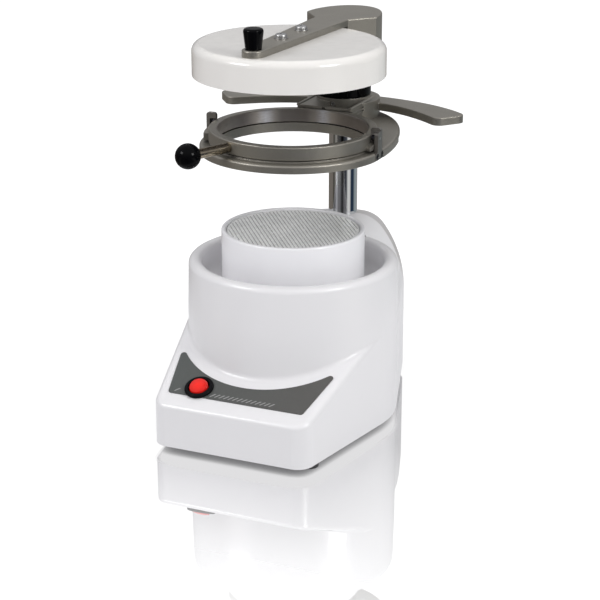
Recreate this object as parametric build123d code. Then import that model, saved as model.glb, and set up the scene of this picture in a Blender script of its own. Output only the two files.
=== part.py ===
from build123d import *
from math import asin, atan2, ceil, cos, degrees, hypot, pi, radians, sin, sqrt, tan
import os

# Dental vacuum former: a moulded housing with a forming cup, a chrome column, a sliding
# foil carriage with a bayonet clamp ring, and a swinging heater head.  Millimetres, +Z up.
# Heights are stacked from the table upwards, plan positions are taken from the cup axis,
# and the whole part stands with the centre of its footprint on the origin.

os.makedirs("parts", exist_ok=True)

# ------------------------------------------------------------------ clearances
run_gap = 0.05            # radial clearance of running fits
seat_gap = 0.3            # clearance of loose or covered seats
foil_slot = 0.5           # space for the foil between seat and clamp ring

# ------------------------------------------------------------------ housing
front_reach = 125.0       # cup axis to the front face
front_width = 130.4
front_corner = 13.0
back_corner = 24.0
taper_angle = 18.0        # degrees, sides drawing in towards the column
wall = 3.0
foot_lift = 7.5           # table to the lower edge of the housing
front_height = 35.0       # lower edge to the deck plane at the front face
deck_angle = 22.8         # degrees
deck_round = 5.0
bowl_radius = 85.8
bowl_height = 128.5       # lower edge of the housing to the rim
bowl_draft = 1.0          # how much smaller the bowl is at its rim
rim_inner = 74.0
rim_round = 5.0
blend_round = 5.0         # fillet between deck and bowl
draft_lead = 6.0          # straight part of the bowl above the deck's upper end
trough_depth = 23.0
trough_round = 6.0
duct_radius = 20.0        # suction hole in the trough floor
block_rise = 9.5          # rim to the top of the column block
block_flat = 14.0         # half width of the flat on top of the block
block_flat_back = 4.0     # the same at the back face
block_fall = 7.0          # how much lower the block's top is at the back face
block_back_round = 14.0
shoulder_radius = 30.0
shoulder_back_radius = 26.0
shoulder_angle = 50.0     # degrees, where the shoulder meets the long side curve
boss_radius = 4.5
boss_bore = 1.6
boss_back_x = 36.0
boss_back_inset = 19.0    # back face to the rear bosses

# ------------------------------------------------------------------ cup and model plate
cup_radius = 58.0
cup_wall = 4.0
cup_height = 47.0
cup_floor = 4.0
cup_rim_round = 1.6
cup_hole = 17.0
ledge_width = 3.5
plate_recess = 1.6
plate_thick = 2.0
hole_pitch = 8.0
hole_radius = 1.3
gasket_thick = 2.0
gasket_inner = 40.0
gasket_outer = 48.0
cup_screw_circle = 34.0   # radius

# ------------------------------------------------------------------ column and carriage
column_to_back = 34.0     # column axis to the back face
column_radius = 12.2
column_wall = 2.0
seat_above_cup = 72.0     # foil seat over the cup rim, carriage at its top stop
low_stop_gap = 0.5        # carriage to column block at the low end of its travel
frame_thick = 6.5
frame_radius = 74.5
frame_behind = 28.0       # column axis to the egg-shaped back end of the frame
egg_start = 5.0
rear_relief = 3.0         # the frame is thinner where it comes down on the column block
relief_start = 58.0
aperture = 59.5
seat_rise = 1.0
seat_outer = 66.3
saddle_half = 24.5
saddle_front = 62.0
saddle_screw_inset = 6.0
saddle_screw_ahead = 20.6  # column axis to the front pair of screws
saddle_screw_behind = 10.4
saddle_screw_bite = 7.0
saddle_height = 15.0
saddle_back = 30.5        # radius of the saddle's rounded back, about the column
pocket_floor = 6.0        # depth of the pocket in front of the boss
lip = 3.0
boss_outer = 22.9
boss_rise = 2.5           # boss above the saddle
bush_outer = 15.0
bush_length = 9.0
handle_thick = 6.5
handle_root_half = 11.0
handle_mid_half = 12.5
handle_end_half = 14.5
handle_end_corner = 8.0
handle_end_round = 7.2
handle_tip_x = 96.5       # centre of the handle's rounded end
handle_tip_ahead = 14.0   # in front of the column axis
handle_mid_x = 59.0
handle_mid_behind = 7.5   # behind the column axis
handle_root_x = 18.0
handle_root_behind = 15.5
handle_drop = 6.0         # handle's top below the boss's top
lock_screw_radius = 2.0

# ------------------------------------------------------------------ clamp ring
ring_inner = 60.0
ring_outer = 67.1
ring_height = 11.0
ring_round = 1.0
ring_space = 1.0          # ring to the saddle, all round
lug_reach = 4.0           # lug beyond the ring's outer wall
lug_lead = 8.5            # degrees from the ramp's thin end to the locked roller
lug_follow = 25.5         # degrees of lug behind the locked roller
lug_height = 5.6
lug_fall = 3.2            # how much lower the ramp's thin end is
roller_radius = 2.6
roller_length = 3.4
roller_pin = 1.2
bracket_width = 9.0
bracket_thick = 3.0
bracket_finger = 8.5      # reach of the hooked finger over the ring
bracket_foot = 15.0
bracket_hook_rise = 5.5   # finger's top above the ring's top
bracket_hole_depth = 5.0  # screw holes behind the bracket
bracket_screw_half = 4.6  # post's middle to each screw
bracket_screw_bite = 4.0
bracket_screw_sink = 1.6
rod_radius = 4.0
rod_shoulder = 1.0        # step of the rod outside the ring
ball_radius = 10.0
ball_reach = 107.0        # ring centre to ball centre
ball_angle = 24.0         # degrees left of the front

# ------------------------------------------------------------------ heater head
heater_gap = 42.5         # clamp ring to the lower edge of the dome
dome_radius = 76.6
dome_height = 25.0
dome_round = 6.0
dome_wall = 1.6
arm_thick = 5.5
arm_tip_reach = 61.0      # dome centre to the knob axis
arm_tip_half = 9.0
arm_root_half = 14.8
hub_gap = 2.0             # dome to the hub's front face
hub_wall = 10.4           # in front of the hub's bush
hub_half = 31.5
hub_shoulder_ahead = 5.7  # widest place of the hub in front of the column axis
hub_back = 43.5           # reach of the hub's oval back behind its shoulders
head_swing = -1.8         # degrees, the head's place at rest about the column
hub_height = 30.0
hub_roof = 5.0
washer_thick = 1.5
knob_height = 16.2
knob_top_radius = 7.8
knob_low_radius = 6.3
stud_radius = 2.5
head_screw_near = 14.0    # dome centre to the screw nearer the knob
head_screw_far = 22.0     # dome centre to the screw nearer the column
insulation_thick = 9.0
element_radius = 2.6      # tubular heating element
element_inner = 14.0      # mid-line radius of the innermost half turn
element_pitch = 11.0
element_half_turns = 9
tray_depth = 6.0          # bright tray over the element
tray_thick = 1.0
clip_half = 2.0
clip_thick = 1.0

# ------------------------------------------------------------------ panel and switch
panel_thick = 0.8
panel_low_half = 57.7
panel_tip_half = 68.5
panel_low = 13.0          # front face to the panel's lower edge, in plan
panel_tip = 61.5          # front face to the panel's tips, in plan
panel_sag = 32.5          # depth of the concave upper edge, in plan
panel_corner = 2.5
switch_x = -34.5
switch_from_front = 21.7  # front face to the switch axis, in plan
bezel_radius = 11.7
bezel_rise = 2.4
rocker_radius = 8.2
rocker_tilt = 8.0         # degrees either side of level
rocker_rise = 2.2
switch_body_radius = 9.8
switch_body_depth = 20.0
switch_blade_length = 6.5
switch_blade_width = 4.8
switch_blade_thick = 0.8
switch_blade_gap = 8.0    # centre distance of the two blades
rocker_mouth_gap = 0.6    # rocker to its well, all round
rocker_free = 0.4         # rocker's corners to the well while it tips
rocker_well = 7.8         # depth of the well below the panel's face
rocker_half_height = 4.6
rocker_crown = 24.6       # radius of the rocker's crowned face
rocker_pin_radius = 0.9
rocker_pin_bite = 0.8     # how far each end of the pin sits in the switch body

# ------------------------------------------------------------------ inside the housing
sheet = 2.0               # bottom plate
vent_count = 6
vent_pitch = 9.0
vent_half_width = 1.5
vent_half_length = 18.0
pump_gap = 6.0            # bottom plate to the motor can
can_radius = 39.0
fan_trough_gap = 13.5     # fan casing to the trough's underside
fan_radius = 56.0
fan_height = 34.0
metal_skin = 1.6
shaft_radius = 4.0
bearing_outer = 11.0
bearing_width = 7.0
impeller_radius = 49.0
impeller_height = 14.0
impeller_blades = 9
blade_thick = 2.0
stator_wall = 9.0
pump_seal_wall = 8.0
pump_screw_length = 10.0
post_radius = 4.0
post_circle = 49.0
board_width = 58.0
board_depth = 34.0
board_thick = 1.6
board_lift = 6.0
board_x = 22.0
board_from_front = 44.0   # front face to the board's centre line
relay_size = (16.0, 14.0, 12.0)
strip_size = (20.0, 9.0, 9.0)
strip_wires = 4
strip_pitch = 5.0
inlet_width = 48.0
inlet_high = 28.0
inlet_flange = 3.0
inlet_well_width = 24.0
inlet_well_high = 16.0
inlet_well_depth = 16.0
inlet_column_gap = 1.8    # inlet body and fuse tube to the column
inlet_level = 30.0        # inlet axis above the lower edge of the housing
fuse_radius = 7.0
fuse_level = 58.0
fuse_cap = 3.0
fuse_cap_lip = 2.0
foot_radius = 8.5
foot_screw_bite = 2.0     # screw end standing above the bottom plate
foot_front_x = 57.0
foot_front_inset = 28.0   # behind the front face
foot_back_x = 44.0
foot_back_inset = 46.0    # in front of the back face
foot_recess = 3.0         # depth of the screw's seat in the foot
flange_wall_gap = 1.0     # column flange to the back wall
flange_thick = 6.0
socket_radius = 19.0
socket_height = 16.0

# ------------------------------------------------------------------ screws
m3_thread = 1.5
m4_thread = 2.0
m5_thread = 2.5
head_ratio = 1.9          # pan head radius over thread radius
head_high_ratio = 1.2     # pan head height over thread radius

# ------------------------------------------------------------------ worked out from the above
inlet_thread = m3_thread - seat_gap / 2
rear_stand = inlet_flange + inlet_thread * head_high_ratio
hub_front = dome_radius + hub_gap
column_reach = hub_front + hub_wall + bush_outer
back_reach = column_reach + column_to_back
cup_y = (front_reach - back_reach - rear_stand) / 2
column_y = cup_y + column_reach
front_y = cup_y - front_reach
back_y = cup_y + back_reach

z_low = foot_lift
z_sheet = z_low + sheet
z_rim = z_low + bowl_height
z_trough = z_rim - trough_depth
z_block = z_rim + block_rise
z_cup = z_trough + cup_height
z_ledge = z_cup - plate_recess - plate_thick
z_seat = z_cup + seat_above_cup
z_frame = z_seat - seat_rise
z_frame_low = z_frame - frame_thick
z_relief = z_frame_low + rear_relief
z_saddle = z_frame + saddle_height
z_boss = z_saddle + boss_rise
z_ring = z_seat + foil_slot
z_ring_top = z_ring + ring_height
z_dome = z_ring_top + heater_gap
z_dome_top = z_dome + dome_height
z_arm = z_dome_top + arm_thick
z_hub = z_arm - hub_height
z_collar = z_boss + foil_slot
z_column_top = z_arm - hub_roof - seat_gap
stroke = z_relief - z_block - low_stop_gap
z_ball = (z_ring + z_ring_top) / 2
z_roller = z_ring + seat_gap + lug_height + seat_gap + roller_radius
z_hook = z_roller + roller_radius + seat_gap
z_bracket_screw = (z_frame_low + z_frame) / 2

flare_angle = degrees(asin(bowl_radius / hypot(front_width / 2, front_reach))
                      - atan2(front_width / 2, front_reach))
flare_x = bowl_radius * cos(radians(flare_angle))
flare_y = -bowl_radius * sin(radians(flare_angle))
taper_x = bowl_radius * cos(radians(taper_angle))
taper_y = bowl_radius * sin(radians(taper_angle))
rocker_mouth = rocker_radius + rocker_mouth_gap
rocker_axis = panel_thick - rocker_pin_radius - seat_gap
bracket_outer = frame_radius
bracket_inner = bracket_outer - bracket_thick
bracket_seat = bracket_inner - seat_gap / 3
bracket_thread = m3_thread - seat_gap
rod_start = ring_outer - ring_inner + rod_shoulder
frame_egg = column_reach + frame_behind - egg_start
hub_shoulder = column_reach - hub_shoulder_ahead
handle_root = (handle_root_x, column_reach + handle_root_behind)
handle_mid = (handle_mid_x, column_reach + handle_mid_behind)
handle_tip = (handle_tip_x, column_reach - handle_tip_ahead)
foot_front_y = front_reach - foot_front_inset
foot_back_y = back_reach - foot_back_inset
inlet_body_depth = column_to_back - column_radius - inlet_column_gap
flange_radius = column_to_back - wall - flange_wall_gap
rod_length = ball_reach - ball_radius / 2 - ring_outer


# ------------------------------------------------------------------ small helpers
def disc(radius, low, high, x=0.0, y=0.0):
    """Upright cylinder between two heights."""
    return Pos(x, y, (low + high) / 2) * Cylinder(radius, high - low)


def ring(outer, inner, low, high, x=0.0, y=0.0):
    """Upright tube between two heights."""
    return disc(outer, low, high, x, y) - disc(inner, low - 1, high + 1, x, y)


def slab(x0, x1, y0, y1, z0, z1):
    """Box between two corners."""
    return Pos((x0 + x1) / 2, (y0 + y1) / 2, (z0 + z1) / 2) * Box(x1 - x0, y1 - y0, z1 - z0)


def polar(radius, angle, x=0.0, y=0.0):
    """Point on a circle, as an X and Y pair."""
    return (x + radius * cos(radians(angle)), y + radius * sin(radians(angle)))


def spun(face_points, y=0.0):
    """Solid turned about a vertical axis at Y, from (radius, height) points."""
    face = make_face(Polyline(*[(r, 0, z) for r, z in face_points], close=True))
    return Pos(0, y, 0) * revolve(face, Axis.Z)


def upright_screw(thread, length, z_head, x, y, turned=False):
    """Pan-head screw whose head rests at z_head and whose shank runs down, or up if turned."""
    high = thread * head_high_ratio
    head = disc(thread * head_ratio, 0, high)
    head = fillet(head.edges().sort_by(Axis.Z)[-1], high * 0.6)
    recess = slab(-thread * 0.9, thread * 0.9, -0.4, 0.4, high * 0.55, high + 1)
    screw = head + disc(thread, -length, 0) - recess - Rot(0, 0, 90) * recess
    if turned:
        screw = Rot(180, 0, 0) * screw
    return Pos(x, y, z_head) * screw


def save(shape, name):
    """Write one node, as a group when it holds several solids."""
    solids = shape.solids() if hasattr(shape, "solids") else shape
    solid = solids[0] if len(solids) == 1 else Compound(children=list(solids))
    export_step(solid, f"parts/{name}.step")


def save_group(shapes, name):
    """Write identical fasteners or pieces as one node of separate solids."""
    solids = [solid for shape in shapes for solid in shape.solids()]
    export_step(Compound(children=solids), f"parts/{name}.step")


# ------------------------------------------------------------------ housing
def side_x(y):
    """Half width of the tapering sides at a distance behind the cup axis."""
    return (bowl_radius - y * sin(radians(taper_angle))) / cos(radians(taper_angle))


def plan(inset=0.0):
    """Plan outline: flat front, sides flaring onto the bowl, then tapering to the back."""
    half = front_width / 2
    back_x = side_x(back_reach)
    right = [Line((half, -front_reach), (flare_x, flare_y)),
             ThreePointArc((flare_x, flare_y), (bowl_radius, 0), (taper_x, taper_y)),
             Line((taper_x, taper_y), (back_x, back_reach))]
    left = [edge.mirror(Plane.YZ) for edge in right]
    ends = [Line((-half, -front_reach), (half, -front_reach)),
            Line((-back_x, back_reach), (back_x, back_reach))]
    face = make_face(right + left + ends)
    corners = face.vertices().sort_by(Axis.Y)
    face = fillet(corners[:2], front_corner)
    face = fillet(face.vertices().sort_by(Axis.Y)[-2:], back_corner)
    if inset:
        face = offset(face, -inset)
    return Pos(0, cup_y, 0) * face


def deck_z(y):
    """Height of the deck plane at a distance behind the cup axis."""
    return z_low + front_height + tan(radians(deck_angle)) * (y + front_reach)


def block_face(y, inset=0.0):
    """Section of the column block across X, run on below the table to be cut off: flat top,
    round shoulders, long side curves."""
    tilt = radians(shoulder_angle)
    behind = max(0.0, y - column_reach) / (back_reach - column_reach)
    half = side_x(y) - inset
    top = z_block - behind * block_fall - inset
    small = shoulder_radius + behind * (shoulder_back_radius - shoulder_radius) - inset
    flat = block_flat + behind * (block_flat_back - block_flat)
    turn_x = flat + small * sin(tilt)
    turn_z = top - small * (1 - cos(tilt))
    large = (half - turn_x) / (1 - sin(tilt))
    foot_z = turn_z - large * cos(tilt)
    mid_small = tilt / 2
    small_mid = (flat + small * sin(mid_small), top - small * (1 - cos(mid_small)))
    mid_large = (pi / 2 - tilt) / 2
    large_mid = (half - large * (1 - cos(mid_large)), foot_z + large * sin(mid_large))
    outline = [Line((0, top), (flat, top)),
               ThreePointArc((flat, top), small_mid, (turn_x, turn_z)),
               ThreePointArc((turn_x, turn_z), large_mid, (half, foot_z)),
               Line((half, foot_z), (half, z_low - bowl_height)),
               Line((half, z_low - bowl_height), (0, z_low - bowl_height))]
    outline += [edge.mirror(Plane.YZ) for edge in outline]
    section = make_face(outline)
    return Pos(0, cup_y + y, 0) * Rot(90, 0, 0) * section


def base_wedge(inset=0.0):
    """Front of the housing below the sloping deck, as far back as the flared sides run."""
    low = z_low - (1 if inset else 0)
    lower = inset / cos(radians(deck_angle))
    side = make_face(Polyline((-front_reach - 1, low), (flare_y, low),
                              (flare_y, deck_z(flare_y) - lower),
                              (-front_reach - 1, deck_z(-front_reach - 1) - lower), close=True))
    wedge = Pos(-front_width, cup_y, 0) * extrude(Plane.YZ * side, 2 * front_width)
    base = Pos(0, 0, low) * extrude(plan(inset), z_rim - low) & wedge
    if inset:
        return base
    deck = base.faces().filter_by(lambda f: 0.5 < f.normal_at().Z < 0.99).sort_by(SortBy.AREA)[-1]
    front = [edge for edge in deck.edges() if edge.center().Y < cup_y + flare_y - 1]
    return fillet(front, deck_round)


def bowl_body(inset=0.0):
    """Filled bowl: upright wall, slight draft above the deck, rounded rim."""
    low = z_low - (1 if inset else 0)
    top = z_rim - inset
    radius = bowl_radius - inset
    bowl = make_face(Polyline((0, 0, low), (radius, 0, low), (radius, 0, deck_z(flare_y) + draft_lead),
                              (radius - bowl_draft, 0, top), (0, 0, top), close=True))
    outer_rim = bowl.vertices().sort_by(lambda v: v.Z * 10 + v.X)[-1]
    bowl = fillet(outer_rim, rim_round)
    return Pos(0, cup_y, 0) * revolve(bowl, Axis.Z)


def back_profile(inset=0.0):
    """Side view of the block with its rounded upper back edge, wider than the housing."""
    top = z_block - inset
    back = back_reach - inset
    corner_z = z_block - block_fall
    profile = make_face(Polyline((0, 0), (back, 0), (back, corner_z), (back - 2 * block_back_round, top + 1),
                                 (0, top + 1), close=True))
    corner = profile.vertices().sort_by(lambda v: -v.X * 10 - v.Y)[0]
    profile = fillet(corner, block_back_round)
    return Pos(-front_width, cup_y, 0) * extrude(Plane.YZ * profile, 2 * front_width)


def on_bowl(edge):
    """True when the middle of an edge lies on the bowl's wall."""
    middle = edge.position_at(0.5)
    return abs(hypot(middle.X, middle.Y - cup_y) - bowl_radius) < bowl_draft


def housing_form(inset=0.0):
    """Filled housing without its trough; a positive inset gives the hollow inside it."""
    low = z_low - (1 if inset else 0)
    front = base_wedge(inset) + bowl_body(inset)
    if not inset:
        corner = [edge for edge in front.edges().filter_by(GeomType.ELLIPSE) if on_bowl(edge)]
        front = fillet(corner, blend_round)
    places = (taper_y, column_reach, back_reach - inset)
    block = loft([block_face(y, inset) for y in places], ruled=True)
    return front + (block & Pos(0, 0, low) * extrude(plan(inset), z_block) & back_profile(inset))


def trough_cut(grow=0.0):
    """The round trough, open upwards, with the rim's inner rounding; grow thickens it."""
    inner = rim_inner + grow
    low = z_trough - grow
    flare = rim_round
    outline = [Line((0, 0, low), (inner - trough_round, 0, low)),
               ThreePointArc((inner - trough_round, 0, low),
                             (inner - trough_round * (1 - sin(pi / 4)), 0,
                              low + trough_round * (1 - sin(pi / 4))),
                             (inner, 0, low + trough_round)),
               Line((inner, 0, low + trough_round), (inner, 0, z_rim - flare)),
               ThreePointArc((inner, 0, z_rim - flare),
                             (inner + flare * (1 - sin(pi / 4)), 0, z_rim - flare * (1 - sin(pi / 4))),
                             (inner + flare, 0, z_rim)),
               Line((inner + flare, 0, z_rim), (inner + flare, 0, z_block + 1)),
               Line((inner + flare, 0, z_block + 1), (0, 0, z_block + 1)),
               Line((0, 0, z_block + 1), (0, 0, low))]
    return Pos(0, cup_y, 0) * revolve(make_face(outline), Axis.Z)


def boss_places():
    """Where the bottom plate is screwed to the housing."""
    side = bowl_radius - wall - 2 * boss_radius
    front = (front_width / 2 - wall - 2.5 * boss_radius, -front_reach + wall + 2.5 * boss_radius)
    back = (boss_back_x, back_reach - boss_back_inset)
    places = [(side, 0), front, back]
    return [(sign * x, cup_y + y) for x, y in places for sign in (-1, 1)]


def housing_shell():
    """Moulded housing: bowl, sloping deck, column block, wall thickness all round."""
    outer = housing_form() - trough_cut()
    inner = housing_form(wall) - trough_cut(wall)
    shell = outer - inner
    for x, y in boss_places():
        boss = ring(boss_radius, boss_bore, z_sheet, z_rim, x, y) & outer
        shell += boss
    shell -= disc(column_radius + seat_gap, z_block - block_fall - 2 * wall, z_block + 1, 0, column_y)
    shell -= disc(duct_radius, z_trough - 2 * wall, z_trough + 1, 0, cup_y)
    for x, y in cup_screw_places():
        shell -= disc(m3_thread + seat_gap / 2, z_trough - 2 * wall, z_trough + 1, x, y)
    shell -= switch_plane() * Pos(0, 0, -switch_body_depth) * Cylinder(
        switch_body_radius + seat_gap, 2 * switch_body_depth + 10)
    well = slab(-inlet_well_width / 2 - 2, inlet_well_width / 2 + 2, back_y - 2 * wall, back_y + 1,
                z_low + inlet_level - inlet_well_high / 2 - 2,
                z_low + inlet_level + inlet_well_high / 2 + 2)
    shell -= well
    shell -= Pos(0, back_y, z_low + fuse_level) * Rot(90, 0, 0) * Cylinder(fuse_radius, 4 * wall)
    for sign in (-1, 1):
        place = Pos(sign * inlet_screw_x(), back_y, z_low + inlet_level)
        shell -= place * Rot(90, 0, 0) * Cylinder(inlet_thread, 4 * wall)
    return shell


def bottom_plate():
    """Steel sheet closing the housing, with screw holes, cooling slots and feet holes."""
    plate = Pos(0, 0, z_low) * extrude(plan(wall + seat_gap), sheet)
    for x, y in boss_places():
        plate -= disc(m3_thread + seat_gap / 2, z_low - 1, z_sheet + 1, x, y)
    for x, y in foot_places():
        plate -= disc(m4_thread, z_low - 1, z_sheet + 1, x, y)
    for x, y in post_places():
        plate -= disc(m4_thread, z_low - 1, z_sheet + 1, x, y)
    for x, y in flange_screw_places():
        plate -= disc(m4_thread + seat_gap / 2, z_low - 1, z_sheet + 1, x, y)
    for index in range(vent_count):
        x = (index - (vent_count - 1) / 2) * vent_pitch
        plate -= slab(x - vent_half_width, x + vent_half_width, cup_y - vent_half_length,
                      cup_y + vent_half_length, z_low - 1, z_sheet + 1)
    return plate


def foot_places():
    """Where the four rubber feet stand."""
    return [(-foot_front_x, cup_y - foot_front_y), (foot_front_x, cup_y - foot_front_y),
            (-foot_back_x, cup_y + foot_back_y), (foot_back_x, cup_y + foot_back_y)]


def rubber_feet():
    """Four slightly conical feet, each with a sunk seat for its screw."""
    feet = []
    for x, y in foot_places():
        foot = Pos(x, y, foot_lift / 2) * Cone(foot_radius - 1, foot_radius, foot_lift)
        foot = foot - disc(m4_thread * head_ratio + seat_gap, -1, foot_recess, x, y)
        foot = foot - disc(m4_thread + seat_gap / 2, -1, foot_lift + 1, x, y)
        feet.append(foot)
    return feet


def feet_screws():
    """Screws holding the feet to the bottom plate."""
    length = foot_lift - foot_recess + sheet + foot_screw_bite
    return [upright_screw(m4_thread - run_gap, length, foot_recess, x, y, turned=True)
            for x, y in foot_places()]


def bottom_screws():
    """Screws up through the bottom plate into the housing's bosses."""
    return [upright_screw(m3_thread, sheet + 8, z_low, x, y, turned=True) for x, y in boss_places()]


# ------------------------------------------------------------------ cup and model plate
def cup_screw_places():
    """Screws through the cup's floor into the trough floor."""
    return [polar(cup_screw_circle, 45 + 90 * index, 0, cup_y) for index in range(4)]


def forming_cup():
    """White forming cup: rounded rim, inner ledge for the model plate, holed floor."""
    inner = cup_radius - cup_wall
    shelf = inner - ledge_width
    cup = spun([(cup_hole, z_trough), (cup_radius, z_trough), (cup_radius, z_cup), (inner, z_cup),
                (inner, z_ledge), (shelf, z_ledge), (shelf, z_ledge - 2 * ledge_width),
                (inner, z_ledge - 3 * ledge_width), (inner, z_trough + cup_floor),
                (cup_hole, z_trough + cup_floor)], cup_y)
    rim = cup.edges().filter_by(GeomType.CIRCLE).filter_by_position(Axis.Z, z_cup - 0.01, z_cup + 0.01)
    cup = fillet(rim, cup_rim_round)
    cup -= ring(gasket_outer + run_gap, gasket_inner - run_gap, z_trough - 1,
                z_trough + gasket_thick, 0, cup_y)
    for x, y in cup_screw_places():
        cup -= disc(m3_thread + seat_gap / 2, z_trough - 1, z_trough + cup_floor + 1, x, y)
    return cup


def perforated_plate():
    """Model plate: thin round sheet with a staggered field of suction holes."""
    radius = cup_radius - cup_wall - seat_gap
    plate = disc(radius, z_ledge, z_ledge + plate_thick, 0, cup_y)
    field = cup_radius - cup_wall - ledge_width - hole_pitch / 2
    row_step = hole_pitch * sqrt(3) / 2
    rows = ceil(field / row_step)
    spots = []
    for row in range(-rows, rows + 1):
        shift = hole_pitch / 2 if row % 2 else 0
        for column in range(-rows - 2, rows + 3):
            spot = (column * hole_pitch + shift, row * row_step)
            if hypot(*spot) < field:
                spots.append(Location((spot[0], cup_y + spot[1], z_ledge)))
    drills = extrude(Sketch() + [spot * Circle(hole_radius) for spot in spots], plate_thick)
    return plate - drills


def cup_screws():
    """Four screws holding the cup down."""
    return [upright_screw(m3_thread, cup_floor + wall + 3, z_trough + cup_floor, x, y)
            for x, y in cup_screw_places()]


def plate_gasket():
    """Sealing ring in the cup's underside."""
    return ring(gasket_outer, gasket_inner, z_trough, z_trough + gasket_thick, 0, cup_y)


# ------------------------------------------------------------------ panel and switch
def deck_plane(x, from_front):
    """Plane on the deck: X across, Y up the slope, Z out of the deck."""
    y = front_y + from_front
    origin = (x, y, deck_z(y - cup_y))
    tilt = radians(deck_angle)
    return Plane(origin=origin, x_dir=(1, 0, 0), z_dir=(0, -sin(tilt), cos(tilt)))


def switch_plane():
    """Seat of the switch on the deck."""
    return deck_plane(switch_x, switch_from_front)


def control_panel():
    """Thin dark panel lying on the deck, its upper edge following the bowl."""
    stretch = 1 / cos(radians(deck_angle))
    rise = (panel_tip - panel_low) * stretch
    sag = rise - panel_sag * stretch
    outline = [Line((-panel_low_half, 0), (panel_low_half, 0)),
               Line((panel_low_half, 0), (panel_tip_half, rise)),
               ThreePointArc((panel_tip_half, rise), (0, sag), (-panel_tip_half, rise)),
               Line((-panel_tip_half, rise), (-panel_low_half, 0))]
    face = make_face(outline)
    face = fillet(face.vertices(), panel_corner)
    panel = deck_plane(0, panel_low) * extrude(face, panel_thick)
    return panel - switch_plane() * Cylinder(switch_body_radius + seat_gap, 10)


def switch_bezel():
    """Round black bezel with a dished mouth around the rocker."""
    bezel = Pos(0, 0, panel_thick + bezel_rise / 2) * Cylinder(bezel_radius, bezel_rise)
    bezel = fillet(bezel.edges().group_by(Axis.Z)[-1], bezel_rise * 0.6)
    return switch_plane() * (bezel - Cylinder(rocker_mouth, 4 * bezel_rise))


def on_rocker_axis():
    """Place on the rocker's axis, with Z across the machine."""
    return switch_plane() * Pos(0, 0, rocker_axis) * Rot(0, 90, 0)


def switch_body():
    """Switch body below the deck, open at the top for the rocker, with two blades below."""
    low = panel_thick - switch_body_depth
    body = Pos(0, 0, (panel_thick + low) / 2) * Cylinder(switch_body_radius, switch_body_depth)
    body -= Pos(0, 0, panel_thick) * Cylinder(rocker_mouth, 2 * rocker_well)
    for sign in (-1, 1):
        blade = Box(switch_blade_thick, switch_blade_width, switch_blade_length)
        body += Pos(sign * switch_blade_gap / 2, 0, low - switch_blade_length / 2 + 0.5) * blade
    return switch_plane() * body - on_rocker_axis() * Cylinder(rocker_pin_radius, 4 * rocker_mouth)


def switch_rocker():
    """Red rocker, crowned and tipped to its on side, with a bore for its pin."""
    top = panel_thick + bezel_rise + rocker_rise - rocker_axis
    crown = Pos(0, 0, top - rocker_crown) * Sphere(rocker_crown)
    stem = Pos(0, 0, (top - rocker_half_height) / 2) * Cylinder(rocker_mouth - 4 * seat_gap,
                                                              top + rocker_half_height)
    body = stem & crown & Sphere(rocker_mouth - rocker_free)
    body -= Rot(0, 90, 0) * Cylinder(rocker_pin_radius + run_gap, 4 * rocker_radius)
    return switch_plane() * Pos(0, 0, rocker_axis) * Rot(rocker_tilt, 0, 0) * body


def rocker_pin():
    """Pin across the switch body that the rocker tips on."""
    return on_rocker_axis() * Cylinder(rocker_pin_radius, 2 * (rocker_mouth + rocker_pin_bite))


# ------------------------------------------------------------------ mains side
def inlet_screw_x():
    """Distance of the inlet's screws from its centre."""
    return inlet_width / 2 - 4


def power_inlet():
    """Appliance inlet: flange, body through the wall, open well with three blades."""
    z = z_low + inlet_level
    flange = slab(-inlet_width / 2, inlet_width / 2, back_y, back_y + inlet_flange,
                  z - inlet_high / 2, z + inlet_high / 2)
    flange = fillet(flange.edges().filter_by(Axis.Y), 3)
    body = slab(-inlet_well_width / 2 - 1.6, inlet_well_width / 2 + 1.6, back_y - inlet_body_depth,
                back_y, z - inlet_well_high / 2 - 1.6, z + inlet_well_high / 2 + 1.6)
    floor_y = back_y + inlet_flange - inlet_well_depth
    well = slab(-inlet_well_width / 2, inlet_well_width / 2, floor_y, back_y + inlet_flange + 1,
                z - inlet_well_high / 2, z + inlet_well_high / 2)
    inlet = flange + body - well
    for x, dz in ((-7, -2), (0, 2), (7, -2)):
        inlet += slab(x - 1, x + 1, floor_y - 1, floor_y + inlet_well_depth * 0.7, z + dz - 2, z + dz + 2)
    for sign in (-1, 1):
        hole = Rot(90, 0, 0) * Cylinder(m3_thread + seat_gap / 2, 4 * inlet_flange)
        inlet -= Pos(sign * inlet_screw_x(), back_y, z) * hole
    return inlet


def inlet_screws():
    """Two screws holding the inlet's flange."""
    screws = []
    for sign in (-1, 1):
        screw = upright_screw(inlet_thread, inlet_flange + wall + 3, 0, 0, 0)
        place = Pos(sign * inlet_screw_x(), back_y + inlet_flange, z_low + inlet_level)
        screws.append(place * Rot(-90, 0, 0) * screw)
    return screws


def fuse_holder():
    """Round fuse holder with a slotted cap, above the inlet."""
    radius = fuse_radius - seat_gap
    cap_radius = fuse_radius + fuse_cap_lip
    tube = Pos(0, 0, -inlet_body_depth / 2) * Cylinder(radius, inlet_body_depth)
    cap = Pos(0, 0, fuse_cap / 2) * Cylinder(cap_radius, fuse_cap)
    cap = fillet(cap.edges().group_by(Axis.Z)[-1], fuse_cap / 3)
    slot = Pos(0, 0, fuse_cap) * Box(2 * cap_radius + 2, fuse_cap / 2, fuse_cap)
    return Pos(0, back_y, z_low + fuse_level) * Rot(-90, 0, 0) * (tube + cap - slot)


def board_spots():
    """Centres of the board's standoffs."""
    y = front_y + board_from_front
    return [(board_x + sx * (board_width / 2 - 4), y + sy * (board_depth / 2 - 4))
            for sx in (-1, 1) for sy in (-1, 1)]


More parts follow.
